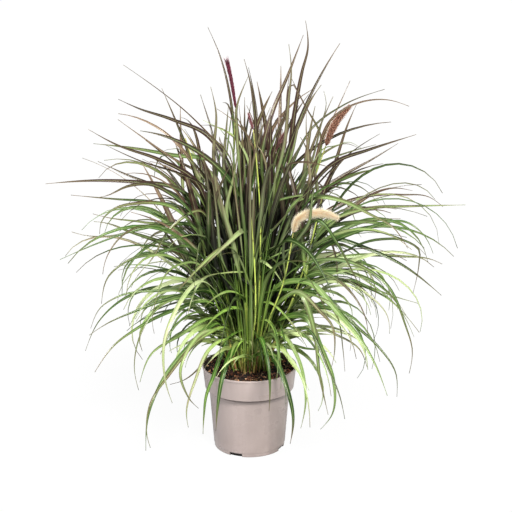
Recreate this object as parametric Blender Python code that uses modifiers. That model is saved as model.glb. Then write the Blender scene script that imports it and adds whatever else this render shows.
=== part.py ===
# Potted fountain grass clump: a plastic nursery pot, its soil, jointed culms with
# flower spikes, and long folded leaves that arch out on every side.
# Units are metres, +Z is up, the front is -Y, and the pot stands on Z = 0.

import math
import random

import bmesh
import bpy
from mathutils import Vector

MM = 0.001
GAP = 0.3 * MM  # clearance between pieces that touch
CURVE_SAMPLES = 12  # points worked out on each stretch of a smooth route

# Pot
RIM_RADIUS = 95 * MM
POT_HEIGHT = 173 * MM
BAND_HEIGHT = 44.5 * MM  # the deep rim band
BAND_FOOT_RADIUS = 89.5 * MM
BODY_TOP_RADIUS = 81.5 * MM
BASE_RADIUS = 71.5 * MM
WALL = 2 * MM
LIP_THICKNESS = 1.6 * WALL  # the rim's edge is thicker than the wall
LIP_DEPTH = 4 * MM
EDGE = 1 * MM  # small bevels on the rim and band
FLOOR = 3 * MM
FOOT_ROUNDING = 4 * MM
POT_SIDES = 48
NOTCH_WIDTH = 27 * MM
NOTCH_HEIGHT = 7.5 * MM
NOTCH_DEPTH = 6 * MM
NOTCH_COUNT = 4
FIRST_NOTCH = math.radians(247)  # just left of the front

# Soil
SOIL_BELOW_RIM = 7 * MM
CROWN_RADIUS = 46 * MM  # the level, slightly raised patch that the plant stands on
CROWN_RISE = 3 * MM
SOIL_LUMP = 1.6 * MM
SOIL_RINGS = 5
CROWN_HEIGHT = POT_HEIGHT - SOIL_BELOW_RIM + CROWN_RISE

# Culms
CULM_RADIUS = 2.3 * MM
CULM_TAPER = 0.55  # radius at the top, as a share of that at the foot
CULM_STEP = 34 * MM
UPRIGHT_FOOT = 5 * MM  # the first stretch stands square on the soil
JOINT_EVERY = 3  # steps from one swollen joint to the next
JOINT_SWELL = 1.3

# Flower spikes
SPIKE_STEP = 8 * MM
SPIKE_END = 0.4  # radius of the blunt ends, as a share of the spike's radius there

# Leaves
BLADE_THICKNESS = 0.8 * MM
BLADE_STEP = 52 * MM
FOOT_SHARE = 0.42  # width at the foot, as a share of the widest
WIDENS_UNTIL = 0.3  # share of the length
TIP_WIDTH = 0.9 * MM
FOLD = math.tan(math.radians(20))  # rise of each half from the midrib
FACE_FRONT = math.radians(65)  # how far a side leaf rolls its upper face to the front

# Each culm's route: x, y and z in millimetres, foot first.
CULMS = {
    "culm_crimson_flower": ((-14, 5, 163), (-24, 14, 400), (-30, 16, 600), (-26, 15, 696)),
    "culm_brown_flower": ((26, 9, 163), (60, 15, 330), (110, 18, 500), (149, 20, 620)),
    "culm_pink_flower": ((6, 14, 163), (18, 22, 350), (37, 25, 560), (43, 25, 598)),
    "culm_young_flower": ((10, -10, 163), (18, -21, 300), (21, -20, 500), (8, -10, 660)),
    "culm_cream_flower": ((12, -14, 163), (34, -45, 270), (66, -84, 375), (84, -100, 480)),
    "culm_leafy_front": ((0, -26, 163), (12, -42, 300), (8, -60, 440), (2, -70, 520)),
    "culm_leafy_left": ((-30, -2, 163), (-52, -4, 350), (-82, 0, 494), (-124, 4, 640)),
    "culm_leafy_right": ((34, -10, 163), (62, -28, 260), (98, -38, 360), (142, -42, 540)),
}

# Each flower spike: the culm it ends, its route above that culm's tip, and its radius
# at the foot, middle and tip, all in millimetres.
SPIKES = {
    "spike_crimson": ("culm_crimson_flower", ((-34, 14, 750), (-43, 13, 796)), (2.4, 3.6, 4.8)),
    "spike_brown": ("culm_brown_flower", ((160, 24, 649), (177, 28, 678), (193, 30, 695)), (5, 8, 4)),
    "spike_pink": ("culm_pink_flower", ((57, 25, 624), (73, 25, 650)), (3.6, 4.8, 2.5)),
    "spike_young": ("culm_young_flower", ((3, -9, 676), (-1, -8, 690)), (2.6, 3.2, 1.6)),
    "spike_cream": (
        "culm_cream_flower",
        ((94, -102, 508), (116, -104, 522), (142, -106, 524), (171, -108, 514)),
        (6, 11.5, 5),
    ),
}

# Leaves that rise from the crown. Each has the azimuth it leans to in degrees from +X,
# the radius of its foot, its width, and points on its midrib as radius and height, in
# millimetres, ending at the tip.
CROWN_LEAVES = {
    "leaf_left_low": (
        202, 25, 11,
        ((70, 370), (125, 480), (180, 485), (240, 480), (305, 465), (385, 440)),
    ),
    "leaf_left_rising": (
        153, 19, 10,
        ((80, 400), (150, 480), (220, 485), (305, 480), (415, 475)),
    ),
    "leaf_left_back": (
        139, 30, 9,
        ((90, 340), (190, 420), (295, 415), (405, 405), (445, 405)),
    ),
    "leaf_left_olive": (
        216, 32, 11,
        ((75, 420), (120, 515), (185, 490), (225, 440), (265, 405), (275, 390)),
    ),
    "leaf_low_left_broad": (
        206, 38, 10,
        ((95, 345), (165, 340), (240, 325), (310, 305), (340, 290)),
    ),
    "leaf_lowest_left": (
        233, 24, 8,
        ((80, 275), (150, 275), (250, 230), (310, 185), (320, 140), (310, 100)),
    ),
    "leaf_lowest_left_broad": (
        226, 43, 11,
        ((95, 285), (170, 255), (235, 210), (275, 150), (285, 75)),
    ),
    "leaf_pot_front_left": (
        246, 30, 13,
        ((50, 235), (90, 225), (130, 190), (150, 140), (160, 90)),
    ),
    "leaf_pot_front": (
        283, 28, 11,
        ((60, 245), (110, 265), (150, 245), (175, 205), (170, 140)),
    ),
    "leaf_pot_front_right": (
        300, 38, 13,
        ((60, 230), (105, 215), (145, 175), (170, 125), (160, 60)),
    ),
    "leaf_pot_right": (
        305, 26, 10,
        ((65, 250), (110, 270), (170, 230), (190, 170), (175, 95)),
    ),
    "leaf_low_right_pale": (
        314, 40, 14,
        ((90, 330), (140, 360), (180, 295), (195, 210), (220, 130)),
    ),
    "leaf_low_right_falling": (
        321, 42, 13,
        ((85, 290), (140, 305), (180, 250), (210, 190), (210, 125), (180, 80)),
    ),
    "leaf_low_right_broad": (
        318, 28, 14,
        ((90, 365), (160, 380), (230, 335), (280, 300), (320, 255), (350, 200)),
    ),
    "leaf_low_right_far": (
        349, 40, 6,
        ((90, 360), (180, 385), (275, 335), (320, 290), (340, 265)),
    ),
    "leaf_right_brown": (
        21, 14, 10,
        ((90, 400), (170, 480), (265, 500), (330, 495), (390, 485), (425, 460)),
    ),
    "leaf_front_reach": (
        271, 38, 10,
        ((75, 330), (140, 400), (220, 405), (310, 370), (390, 320)),
    ),
    "leaf_front_left_reach": (
        260, 34, 10,
        ((90, 330), (180, 370), (260, 345), (340, 280)),
    ),
    "leaf_front_right_reach": (
        296, 24, 10,
        ((90, 390), (170, 440), (250, 430), (330, 380)),
    ),
    "leaf_back_reach": (
        92, 32, 11,
        ((80, 360), (160, 440), (250, 460), (330, 440), (400, 395)),
    ),
    "leaf_back_left_low": (
        116, 37, 10,
        ((90, 300), (180, 330), (270, 300), (330, 235)),
    ),
    "leaf_right_low": (
        12, 40, 10,
        ((85, 300), (160, 340), (240, 320), (310, 270), (345, 205)),
    ),
    "leaf_back_right_rising": (
        46, 30, 10,
        ((85, 390), (150, 470), (240, 500), (330, 480), (395, 430)),
    ),
    "leaf_left_far_low": (
        168, 40, 10,
        ((85, 290), (165, 325), (250, 300), (315, 240), (345, 175)),
    ),
    "leaf_back_right_low": (
        55, 36, 10,
        ((90, 300), (190, 340), (290, 320), (360, 260)),
    ),
}

# Leaves that leave a culm: the azimuth they lean to, the culm and the height on it,
# the width, and points on the midrib as above.
CULM_LEAVES = {
    "leaf_top_left_thin": (
        210, "culm_crimson_flower", 470, 6,
        ((45, 610), (90, 660), (145, 715), (205, 765), (265, 810)),
    ),
    "leaf_top_left_broad": (
        138, "culm_crimson_flower", 430, 11,
        ((50, 570), (105, 625), (205, 645), (310, 655), (365, 665)),
    ),
    "leaf_top_left_line": (
        123, "culm_crimson_flower", 560, 6,
        ((55, 645), (70, 715), (105, 785), (150, 835)),
    ),
    "leaf_top_left_upright": (
        192, "culm_crimson_flower", 380, 11,
        ((65, 540), (70, 615), (65, 695), (75, 745)),
    ),
    "leaf_left_upright": (
        166, "culm_leafy_left", 400, 10,
        ((85, 490), (105, 550), (125, 610), (145, 660), (175, 730)),
    ),
    "leaf_left_broad": (
        201, "culm_leafy_left", 310, 13,
        ((75, 460), (115, 570), (185, 615), (265, 650), (320, 685)),
    ),
    "leaf_left_longest": (
        183, "culm_leafy_left", 440, 10,
        ((110, 520), (150, 545), (210, 555), (290, 560), (395, 555)),
    ),
    "leaf_tallest": (
        12, "culm_pink_flower", 420, 13,
        ((75, 560), (90, 685), (105, 770), (115, 810), (110, 865)),
    ),
    "leaf_top_right_broad": (
        59, "culm_pink_flower", 500, 11,
        ((50, 605), (85, 670), (150, 740), (210, 810)),
    ),
    "leaf_top_right_arch": (
        346, "culm_brown_flower", 420, 9,
        ((130, 595), (165, 690), (210, 720), (270, 730), (310, 720)),
    ),
    "leaf_top_right_line": (
        36, "culm_brown_flower", 390, 6,
        ((100, 560), (155, 640), (230, 675), (340, 695)),
    ),
    "leaf_right_broad_brown": (
        333, "culm_brown_flower", 350, 13,
        ((110, 520), (185, 615), (250, 645), (345, 685)),
    ),
    "leaf_right_broad_pink": (
        26, "culm_brown_flower", 440, 10,
        ((165, 520), (205, 540), (280, 570), (335, 595)),
    ),
    "leaf_right_longest": (
        356, "culm_leafy_right", 372, 9,
        ((150, 470), (240, 505), (315, 510), (420, 515)),
    ),
    "leaf_right_hook": (
        341, "culm_leafy_right", 326, 11,
        ((150, 430), (235, 480), (320, 500), (350, 480), (370, 445)),
    ),
    "leaf_front_right_pale": (
        300, "culm_cream_flower", 380, 11,
        ((140, 470), (220, 470), (280, 435), (310, 410)),
    ),
    "leaf_front_left_cross": (
        237, "culm_leafy_front", 340, 11,
        ((75, 440), (115, 440), (170, 425), (250, 395)),
    ),
    "leaf_front_high": (
        285, "culm_leafy_front", 420, 10,
        ((82, 500), (115, 580), (170, 630), (235, 630)),
    ),
    "leaf_back_right_high": (
        72, "culm_pink_flower", 380, 10,
        ((75, 520), (130, 610), (200, 640), (290, 610)),
    ),
    "leaf_back_high": (
        100, "culm_pink_flower", 300, 10,
        ((80, 500), (150, 610), (240, 650), (330, 640)),
    ),
}

COLOURS = {
    "pot": ((0.52, 0.45, 0.42), 0.45),
    "soil": ((0.022, 0.013, 0.009), 0.95),
    "culm": ((0.36, 0.44, 0.11), 0.5),
    "leaf_green": ((0.13, 0.24, 0.06), 0.5),
    "leaf_purple": ((0.07, 0.045, 0.035), 0.5),
    "spike_crimson": ((0.16, 0.02, 0.035), 0.8),
    "spike_brown": ((0.26, 0.10, 0.07), 0.8),
    "spike_pink": ((0.42, 0.22, 0.20), 0.8),
    "spike_young": ((0.48, 0.16, 0.18), 0.8),
    "spike_cream": ((0.78, 0.66, 0.46), 0.85),
}
PURPLE_ABOVE = 540 * MM  # a leaf whose middle is higher than this is purple


def clear_scene():
    for obj in list(bpy.data.objects):
        bpy.data.objects.remove(obj, do_unlink=True)


def make_collection(name):
    collection = bpy.data.collections.new(name)
    bpy.context.scene.collection.children.link(collection)
    return collection


def make_material(name):
    colour, roughness = COLOURS[name]
    material = bpy.data.materials.new(name)
    material.use_nodes = True
    shader = material.node_tree.nodes["Principled BSDF"]
    shader.inputs["Base Color"].default_value = (*colour, 1)
    shader.inputs["Roughness"].default_value = roughness
    shader.inputs["Metallic"].default_value = 0
    material.diffuse_color = (*colour, 1)
    return material


def add_object(name, data, collection, material):
    obj = bpy.data.objects.new(name, data)
    collection.objects.link(obj)
    data.materials.append(material)
    return obj


def millimetres(points):
    return [Vector(point) * MM for point in points]


def polar(azimuth, radius, height):
    """A point given by its direction and distance from the axis, and its height."""
    return Vector((radius * math.cos(azimuth), radius * math.sin(azimuth), height))


def smooth_route(points, step):
    """Evenly spaced points on the smooth curve through the given ones.

    Each stretch is a cubic whose end slopes follow the neighbouring points, weighted
    by their distances, so that the curve bends gently where the points are far apart.
    """
    spans = [(b - a).length for a, b in zip(points, points[1:])]
    chords = [(b - a) / span for a, b, span in zip(points, points[1:], spans)]
    slopes = [chords[0]]
    for i in range(1, len(spans)):
        share = spans[i - 1] / (spans[i - 1] + spans[i])
        slopes.append(chords[i - 1].lerp(chords[i], share))
    slopes.append(chords[-1] * 1.5 - slopes[-1] * 0.5)

    fine = [points[0]]
    for i, span in enumerate(spans):
        for k in range(1, CURVE_SAMPLES + 1):
            t = k / CURVE_SAMPLES
            fine.append(
                points[i] * (2 * t**3 - 3 * t**2 + 1)
                + slopes[i] * span * (t**3 - 2 * t**2 + t)
                + points[i + 1] * (3 * t**2 - 2 * t**3)
                + slopes[i + 1] * span * (t**3 - t**2)
            )
    lengths = [0.0]
    for a, b in zip(fine, fine[1:]):
        lengths.append(lengths[-1] + (b - a).length)

    count = max(4, round(lengths[-1] / step))
    route = []
    i = 0
    for k in range(count + 1):
        wanted = lengths[-1] * k / count
        while i < len(fine) - 2 and lengths[i + 1] < wanted:
            i += 1
        share = (wanted - lengths[i]) / (lengths[i + 1] - lengths[i])
        route.append(fine[i].lerp(fine[i + 1], share))
    return route


def point_at_height(route, height):
    for a, b in zip(route, route[1:]):
        if a.z <= height <= b.z:
            return a.lerp(b, (height - a.z) / (b.z - a.z))
    return route[-1]


def turned(name, profile, sides, collection, material):
    """A profile of radius and height, carried once round the Z axis."""
    mesh = bpy.data.meshes.new(name)
    mesh.from_pydata(
        [(radius, 0, height) for radius, height in profile],
        [(i, i + 1) for i in range(len(profile) - 1)],
        [],
    )
    obj = add_object(name, mesh, collection, material)
    screw = obj.modifiers.new("turn", "SCREW")
    screw.steps = screw.render_steps = sides
    screw.use_merge_vertices = True
    screw.merge_threshold = 0.00005
    return obj


def applied(obj):
    """Replaces the object's mesh by what its modifiers make of it."""
    graph = bpy.context.evaluated_depsgraph_get()
    mesh = bpy.data.meshes.new_from_object(obj.evaluated_get(graph))
    obj.modifiers.clear()
    obj.data = mesh
    return obj


def wall_radius(height):
    """Outer radius of the pot's body below the band."""
    share = height / (POT_HEIGHT - BAND_HEIGHT)
    return BASE_RADIUS + (BODY_TOP_RADIUS - BASE_RADIUS) * share


def make_pot(collection, cutters):
    band_foot = POT_HEIGHT - BAND_HEIGHT
    inner_foot = wall_radius(FLOOR) - WALL
    profile = [
        (0, FLOOR),
        (inner_foot, FLOOR),
        (BODY_TOP_RADIUS - WALL, band_foot + WALL),
        (BAND_FOOT_RADIUS - WALL, band_foot + 2 * WALL),
        (RIM_RADIUS - LIP_THICKNESS, POT_HEIGHT - EDGE),
        (RIM_RADIUS - LIP_THICKNESS + EDGE, POT_HEIGHT),
        (RIM_RADIUS - EDGE, POT_HEIGHT),
        (RIM_RADIUS, POT_HEIGHT - EDGE),
        (RIM_RADIUS, POT_HEIGHT - LIP_DEPTH),
        (RIM_RADIUS - EDGE, POT_HEIGHT - LIP_DEPTH - EDGE),
        (BAND_FOOT_RADIUS, band_foot + EDGE),
        (BAND_FOOT_RADIUS - EDGE, band_foot),
        (BODY_TOP_RADIUS, band_foot),
        (wall_radius(FOOT_ROUNDING), FOOT_ROUNDING),
        (BASE_RADIUS - 0.3 * FOOT_ROUNDING, 0.3 * FOOT_ROUNDING),
        (BASE_RADIUS - FOOT_ROUNDING, 0),
        (0, 0),
    ]
    pot = turned("pot", profile, POT_SIDES, collection, make_material("pot"))
    for k in range(NOTCH_COUNT):
        azimuth = FIRST_NOTCH + math.tau * k / NOTCH_COUNT
        mesh = bpy.data.meshes.new(f"notch_cutter_{k + 1}")
        shape = bmesh.new()
        bmesh.ops.create_cube(shape, size=1)
        bmesh.ops.scale(shape, vec=(2 * NOTCH_DEPTH, NOTCH_WIDTH, 2 * NOTCH_HEIGHT), verts=shape.verts)
        shape.to_mesh(mesh)
        shape.free()
        cutter = bpy.data.objects.new(mesh.name, mesh)
        cutters.objects.link(cutter)
        cutter.location = polar(azimuth, BASE_RADIUS, 0)
        cutter.rotation_euler.z = azimuth
        cutter.display_type = "WIRE"
        cutter.hide_render = True
        cut = pot.modifiers.new(mesh.name, "BOOLEAN")
        cut.operation = "DIFFERENCE"
        cut.object = cutter
    pot.data.shade_smooth()
    return pot


def make_soil(collection):
    """The potting mix: it fills the pot, level under the crown and lumpy round it."""
    floor = FLOOR + GAP
    band_foot = POT_HEIGHT - BAND_HEIGHT
    level = POT_HEIGHT - SOIL_BELOW_RIM
    clearance = WALL + 2 * GAP
    shoulder = band_foot + 2 * WALL
    band_slope = (RIM_RADIUS - LIP_THICKNESS - BAND_FOOT_RADIUS + WALL) / (POT_HEIGHT - EDGE - shoulder)
    edge = BAND_FOOT_RADIUS - clearance + (level - shoulder) * band_slope
    profile = [(0, CROWN_HEIGHT), (CROWN_RADIUS, CROWN_HEIGHT)]
    for k in range(1, SOIL_RINGS + 1):
        share = k / SOIL_RINGS
        profile.append((CROWN_RADIUS + (edge - CROWN_RADIUS) * share, level))
    profile += [
        (BAND_FOOT_RADIUS - clearance, shoulder + 2 * GAP),
        (BODY_TOP_RADIUS - clearance, band_foot + WALL + 2 * GAP),
        (wall_radius(floor) - clearance, floor),
        (0, floor),
    ]
    soil = applied(turned("soil", profile, POT_SIDES, collection, make_material("soil")))
    rng = random.Random(7)
    for vertex in soil.data.vertices:
        radius = math.hypot(vertex.co.x, vertex.co.y)
        on_top = vertex.co.z > level - EDGE
        if on_top and CROWN_RADIUS + EDGE < radius < edge - EDGE:
            vertex.co.z += rng.uniform(-SOIL_LUMP, SOIL_LUMP)
    soil.data.shade_smooth()
    return soil


def make_tube(name, route, radii, rings, collection, material):
    """A round rod along the route, its radius given at each point."""
    curve = bpy.data.curves.new(name, "CURVE")
    curve.dimensions = "3D"
    curve.bevel_depth = 1
    curve.bevel_resolution = rings
    curve.use_fill_caps = True
    spline = curve.splines.new("POLY")
    spline.points.add(len(route) - 1)
    for point, place, radius in zip(spline.points, route, radii):
        point.co = (*place, 1)
        point.radius = radius
    return add_object(name, curve, collection, material)


def make_culms(collection):
    """Jointed stems, thinner towards the top and swollen at each joint."""
    material = make_material("culm")
    routes = {}
    for name, points in CULMS.items():
        points = millimetres(points)
        points[0].z = CROWN_HEIGHT + GAP
        route = smooth_route(points, CULM_STEP)
        route.insert(1, route[0] + Vector((0, 0, UPRIGHT_FOOT)))
        radii = []
        for k in range(len(route)):
            radius = CULM_RADIUS * (1 - (1 - CULM_TAPER) * k / (len(route) - 1))
            radii.append(radius * (JOINT_SWELL if k % JOINT_EVERY == JOINT_EVERY - 1 else 1))
        make_tube(name, route, radii, 1, collection, material)
        routes[name] = route
    return routes


def make_spikes(collection, culm_routes):
    """Bottlebrush flower heads, each on the end of its culm."""
    for name, (culm, points, radii) in SPIKES.items():
        tip = culm_routes[culm][-1]
        before = culm_routes[culm][-2]
        foot = tip + (tip - before).normalized() * 2 * GAP
        route = smooth_route([foot] + millimetres(points), SPIKE_STEP)
        sizes = []
        for k in range(len(route)):
            share = k / (len(route) - 1)
            foot_radius, middle_radius, tip_radius = radii
            if share < 0.5:
                radius = foot_radius + (middle_radius - foot_radius) * math.sin(math.pi * share)
            else:
                radius = tip_radius + (middle_radius - tip_radius) * math.sin(math.pi * share)
            if k in (0, len(route) - 1):
                radius *= SPIKE_END
            sizes.append(radius * MM)
        make_tube(name, route, sizes, 1, collection, make_material(name))


def blade_width(share, widest):
    """Narrow at the foot, widest before the middle, then a long taper to the tip."""
    opening = min(share / WIDENS_UNTIL, 1)
    opening = opening * opening * (3 - 2 * opening)
    width = widest * (FOOT_SHARE + (1 - FOOT_SHARE) * opening) * (1 - share**2.4)
    return max(width, TIP_WIDTH)


def make_leaf(name, azimuth, route, widest, collection, material):
    """A thin strip folded along its midrib, carried along the route.

    Its upper face looks away from the ground, and rolls towards the front on leaves
    that lean to the left or right.
    """
    shape = bmesh.new()
    bmesh.ops.create_grid(shape, x_segments=len(route) - 1, y_segments=2, size=0.5)
    across = polar(azimuth + math.pi / 2, 1, 0)
    for vertex in shape.verts:
        k = round((vertex.co.x + 0.5) * (len(route) - 1))
        side = round(vertex.co.y * 2)
        share = k / (len(route) - 1)
        along = (route[min(k + 1, len(route) - 1)] - route[max(k - 1, 0)]).normalized()
        level = (across - along * across.dot(along)).normalized()
        upper = along.cross(level)
        roll = -FACE_FRONT * math.cos(azimuth) * min(share / WIDENS_UNTIL, 1)
        out = level * math.cos(roll) - upper * math.sin(roll)
        rise = upper * math.cos(roll) + level * math.sin(roll)
        half = blade_width(share, widest) / 2
        vertex.co = route[k] + (out * side + rise * FOLD * abs(side)) * half
    mesh = bpy.data.meshes.new(name)
    shape.to_mesh(mesh)
    shape.free()
    leaf = add_object(name, mesh, collection, material)
    skin = leaf.modifiers.new("thickness", "SOLIDIFY")
    skin.thickness = BLADE_THICKNESS
    skin.offset = 0
    mesh.shade_smooth()
    return leaf


def make_leaves(collection, culm_routes):
    green = make_material("leaf_green")
    purple = make_material("leaf_purple")
    feet = {}
    for name, (azimuth, foot_radius, widest, points) in CROWN_LEAVES.items():
        azimuth = math.radians(azimuth)
        foot = polar(azimuth, foot_radius * MM, CROWN_HEIGHT + GAP + 0.5 * BLADE_THICKNESS)
        feet[name] = (azimuth, foot, widest, points)
    for name, (azimuth, culm, height, widest, points) in CULM_LEAVES.items():
        azimuth = math.radians(azimuth)
        reach = JOINT_SWELL * CULM_RADIUS + 3 * GAP + BLADE_THICKNESS
        foot = point_at_height(culm_routes[culm], height * MM) + polar(azimuth, reach, 0)
        feet[name] = (azimuth, foot, widest, points)
    for name, (azimuth, foot, widest, points) in feet.items():
        places = [polar(azimuth, radius * MM, height * MM) for radius, height in points]
        route = smooth_route([foot] + places, BLADE_STEP)
        material = purple if route[len(route) // 2].z > PURPLE_ABOVE else green
        make_leaf(name, azimuth, route, widest * MM, collection, material)


def main():
    clear_scene()
    collection = make_collection("potted_fountain_grass")
    cutters = make_collection("cutters")
    make_pot(collection, cutters)
    make_soil(collection)
    culm_routes = make_culms(collection)
    make_spikes(collection, culm_routes)
    make_leaves(collection, culm_routes)


main()
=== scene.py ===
# Potted fountain grass clump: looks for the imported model. The dictionaries hold sizes in
# millimetres, which are turned to metres where they are used. The front is -Y.
import math
from functools import partial

import bpy
import numpy as np
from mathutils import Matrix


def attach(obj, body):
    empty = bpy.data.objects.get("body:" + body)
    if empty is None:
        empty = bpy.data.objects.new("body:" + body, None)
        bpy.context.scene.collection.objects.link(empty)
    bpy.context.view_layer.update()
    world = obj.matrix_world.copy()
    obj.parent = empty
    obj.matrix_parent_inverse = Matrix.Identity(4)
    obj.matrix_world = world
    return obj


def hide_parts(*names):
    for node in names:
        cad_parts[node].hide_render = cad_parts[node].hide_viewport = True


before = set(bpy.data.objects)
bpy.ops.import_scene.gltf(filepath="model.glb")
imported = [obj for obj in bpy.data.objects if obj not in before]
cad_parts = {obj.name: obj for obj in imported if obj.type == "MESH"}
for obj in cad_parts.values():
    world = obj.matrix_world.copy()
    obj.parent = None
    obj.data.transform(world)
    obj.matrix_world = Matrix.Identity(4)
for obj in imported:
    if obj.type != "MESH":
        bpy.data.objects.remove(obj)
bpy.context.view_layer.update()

mm = 0.001
print("frame loaded")


# sRGB hex to linear: the low end is divided by 12.92, the rest follows a power of 2.4
def hexColour(code):
    value = np.array([int(code[i:i + 2], 16) for i in (1, 3, 5)]) / 255
    linear = np.where(value <= 0.04045, value / 12.92, ((value + 0.055) / 1.055) ** 2.4)
    return (*linear.tolist(), 1.0)


# Adds one node and gives its output. Each value is set on the property or socket of its
# key: a hex colour is made linear, another node's output is linked, stops fill the ramp.
def addNode(tree, kind, values, output=0):
    node = tree.nodes.new("ShaderNode" + kind)
    for key, value in values.items():
        if isinstance(value, str) and value.startswith("#"):
            value = hexColour(value)
        if key == "stops":
            fillRamp(node.color_ramp.elements, value)
        elif isinstance(value, bpy.types.NodeSocket):
            tree.links.new(value, node.inputs[key])
        elif isinstance(key, str) and hasattr(node, key):
            setattr(node, key, value)
        else:
            node.inputs[key].default_value = value
    return node.outputs[output] if node.outputs else node


# colour stops as (place, hex) along a ramp
def fillRamp(elements, stops):
    while len(elements) < len(stops):
        elements.new(0.5)
    for element, (place, code) in zip(elements, stops):
        element.position = place
        element.color = hexColour(code)


# An empty material, addNode for its own nodes, and the outputs of the marks that its
# pieces carry
def newMaterial(name, *marks):
    material = bpy.data.materials.new(name)
    material.use_nodes = True
    material.node_tree.nodes.clear()
    add = partial(addNode, material.node_tree)
    return material, add, *(add("Attribute", {"attribute_name": key}, "Fac") for key in marks)


# vectors divided by their own lengths
def unit(vectors):
    return vectors / np.maximum(np.linalg.norm(vectors, axis=-1, keepdims=True), 1e-12)


# zero below low, one above high, and a smooth s-curve between
def smoothStep(low, high, value):
    share = np.clip((value - low) / (high - low), 0, 1)
    return share * share * (3 - 2 * share)


# a point from its direction and distance from the axis, and its height
def polar(azimuth, radius, height):
    azimuth, radius, height = np.broadcast_arrays(azimuth, radius, height)
    return np.stack([radius * np.cos(azimuth), radius * np.sin(azimuth), height], axis=-1)


# Cubic through the points: it meets each one along the mean of its neighbours' directions,
# weighted by their distances, and is read off again at even steps.
def smoothRoute(points, count):
    points = np.asarray(points, float)
    steps = np.diff(points, axis=0)
    spans = np.linalg.norm(steps, axis=1)
    chords = steps / spans[:, None]
    share = (spans[:-1] / (spans[:-1] + spans[1:]))[:, None]
    slopes = np.vstack([chords[:1], chords[:-1] * (1 - share) + chords[1:] * share])
    slopes = np.vstack([slopes, chords[-1:] * 1.5 - slopes[-1:] * 0.5])
    t = np.linspace(0, 1, 17)[None, :, None]
    span = spans[:, None, None]
    stretch = (
        points[:-1, None] * (2 * t**3 - 3 * t**2 + 1)
        + slopes[:-1, None] * span * (t**3 - 2 * t**2 + t)
        + points[1:, None] * (3 * t**2 - 2 * t**3)
        + slopes[1:, None] * span * (t**3 - t**2)
    )
    fine = np.vstack([stretch[0, :1], stretch[:, 1:].reshape(-1, 3)])
    gone = np.r_[0, np.cumsum(np.linalg.norm(np.diff(fine, axis=0), axis=1))]
    wanted = np.linspace(0, gone[-1], count)
    return np.stack([np.interp(wanted, gone, fine[:, k]) for k in range(3)], axis=1)


# Routes that bend as they grow: the elevation falls from its start by the bend times a
# power of the share of the length, and the azimuth drifts with its square.
def bentRoutes(starts, azimuths, lengths, rise, bend, power, drift, count):
    share = (np.arange(count - 1) + 0.5)[None] / (count - 1)
    elevation = rise[:, None] - bend[:, None] * share ** power[:, None]
    azimuth = azimuths[:, None] + drift[:, None] * share**2
    steps = polar(azimuth, np.cos(elevation), np.sin(elevation)) * lengths[:, None, None] / (count - 1)
    return starts[:, None] + np.concatenate([np.zeros((len(starts), 1, 3)), np.cumsum(steps, axis=1)], axis=1)


# Rings of points joined in turn into closed tubes. rings is (tubes, rings, sides, 3), each
# ring anticlockwise as seen from the tube's far end, and both ends get a cap. across and
# along give the UV map, each mark becomes an attribute, and sharpSides run as creases.
def tubeMesh(name, rings, across, along, marks=None, sharpSides=()):
    shape = rings.shape[:3]
    tubes, count, sides = shape
    ids = np.arange(tubes * count * sides).reshape(shape)
    ahead = np.roll(ids, -1, axis=2)
    quads = np.stack([ids[:, :-1], ahead[:, :-1], ahead[:, 1:], ids[:, 1:]], axis=-1).reshape(-1)
    caps = np.concatenate([ids[:, 0, ::-1], ids[:, -1]]).reshape(-1)
    loops = np.concatenate([quads, caps])
    sizes = np.concatenate([np.full(len(quads) // 4, 4), np.full(2 * tubes, sides)])
    mesh = bpy.data.meshes.new(name)
    mesh.vertices.add(ids.size)
    mesh.vertices.foreach_set("co", rings.reshape(-1).astype(np.float32))
    mesh.loops.add(len(loops))
    mesh.loops.foreach_set("vertex_index", loops.astype(np.int32))
    mesh.polygons.add(len(sizes))
    mesh.polygons.foreach_set("loop_start", (np.cumsum(sizes) - sizes).astype(np.int32))
    mesh.update(calc_edges=True)
    mesh.polygons.foreach_set("use_smooth", np.ones(len(sizes), bool))
    uv = np.stack([np.broadcast_to(across, shape), np.broadcast_to(along, shape)], axis=-1)
    uvMap = mesh.uv_layers.new(name="surfaceMap")
    uvMap.data.foreach_set("uv", uv.reshape(-1, 2)[loops].reshape(-1).astype(np.float32))
    for key, values in (marks or {}).items():
        mark = mesh.attributes.new(key, "FLOAT", "POINT")
        values = np.broadcast_to(values, shape).reshape(-1)
        mark.data.foreach_set("value", values.astype(np.float32))
    if len(sharpSides):
        ends = np.empty(len(mesh.edges) * 2, np.int32)
        mesh.edges.foreach_get("vertices", ends)
        side = ends.reshape(-1, 2) % sides
        sharp = (side[:, 0] == side[:, 1]) & np.isin(side[:, 0], sharpSides)
        mesh.attributes.new("sharp_edge", "BOOLEAN", "EDGE").data.foreach_set("value", sharp)
    return mesh


# a mesh as a piece of the root body, shown instead of the solids that it replaces
def addPiece(name, mesh, material, replaced=()):
    piece = bpy.data.objects.new(name, mesh)
    bpy.context.scene.collection.objects.link(piece)
    mesh.materials.append(material)
    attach(piece, "root")
    if replaced:
        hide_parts(*replaced)
    return piece


# two directions square to each other and to a route's own, from one that no route follows
def squareTo(along):
    first = unit(np.cross(along, (0.31, -0.95, 0.02)))
    return first, np.cross(along, first)


# Round tubes about routes (tubes, rings, 3): each ring lies square to its route, and is the
# cosine of one square direction and the sine of the other at the given radius.
def roundRings(routes, radii, sides):
    first, second = squareTo(unit(np.gradient(routes, axis=1)))
    turn = np.linspace(0, 2 * np.pi, sides, endpoint=False)[:, None]
    circle = first[:, :, None] * np.cos(turn) + second[:, :, None] * np.sin(turn)
    return routes[:, :, None] + circle * radii[:, :, None, None]


# round tubes as a mesh, with a UV map that runs round them and along
def roundMesh(name, routes, radii, sides, marks):
    around = np.linspace(0, 1, sides)
    along = np.linspace(0, 1, routes.shape[1])[None, :, None]
    return tubeMesh(name, roundRings(routes, radii, sides), around, along, marks)


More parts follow.
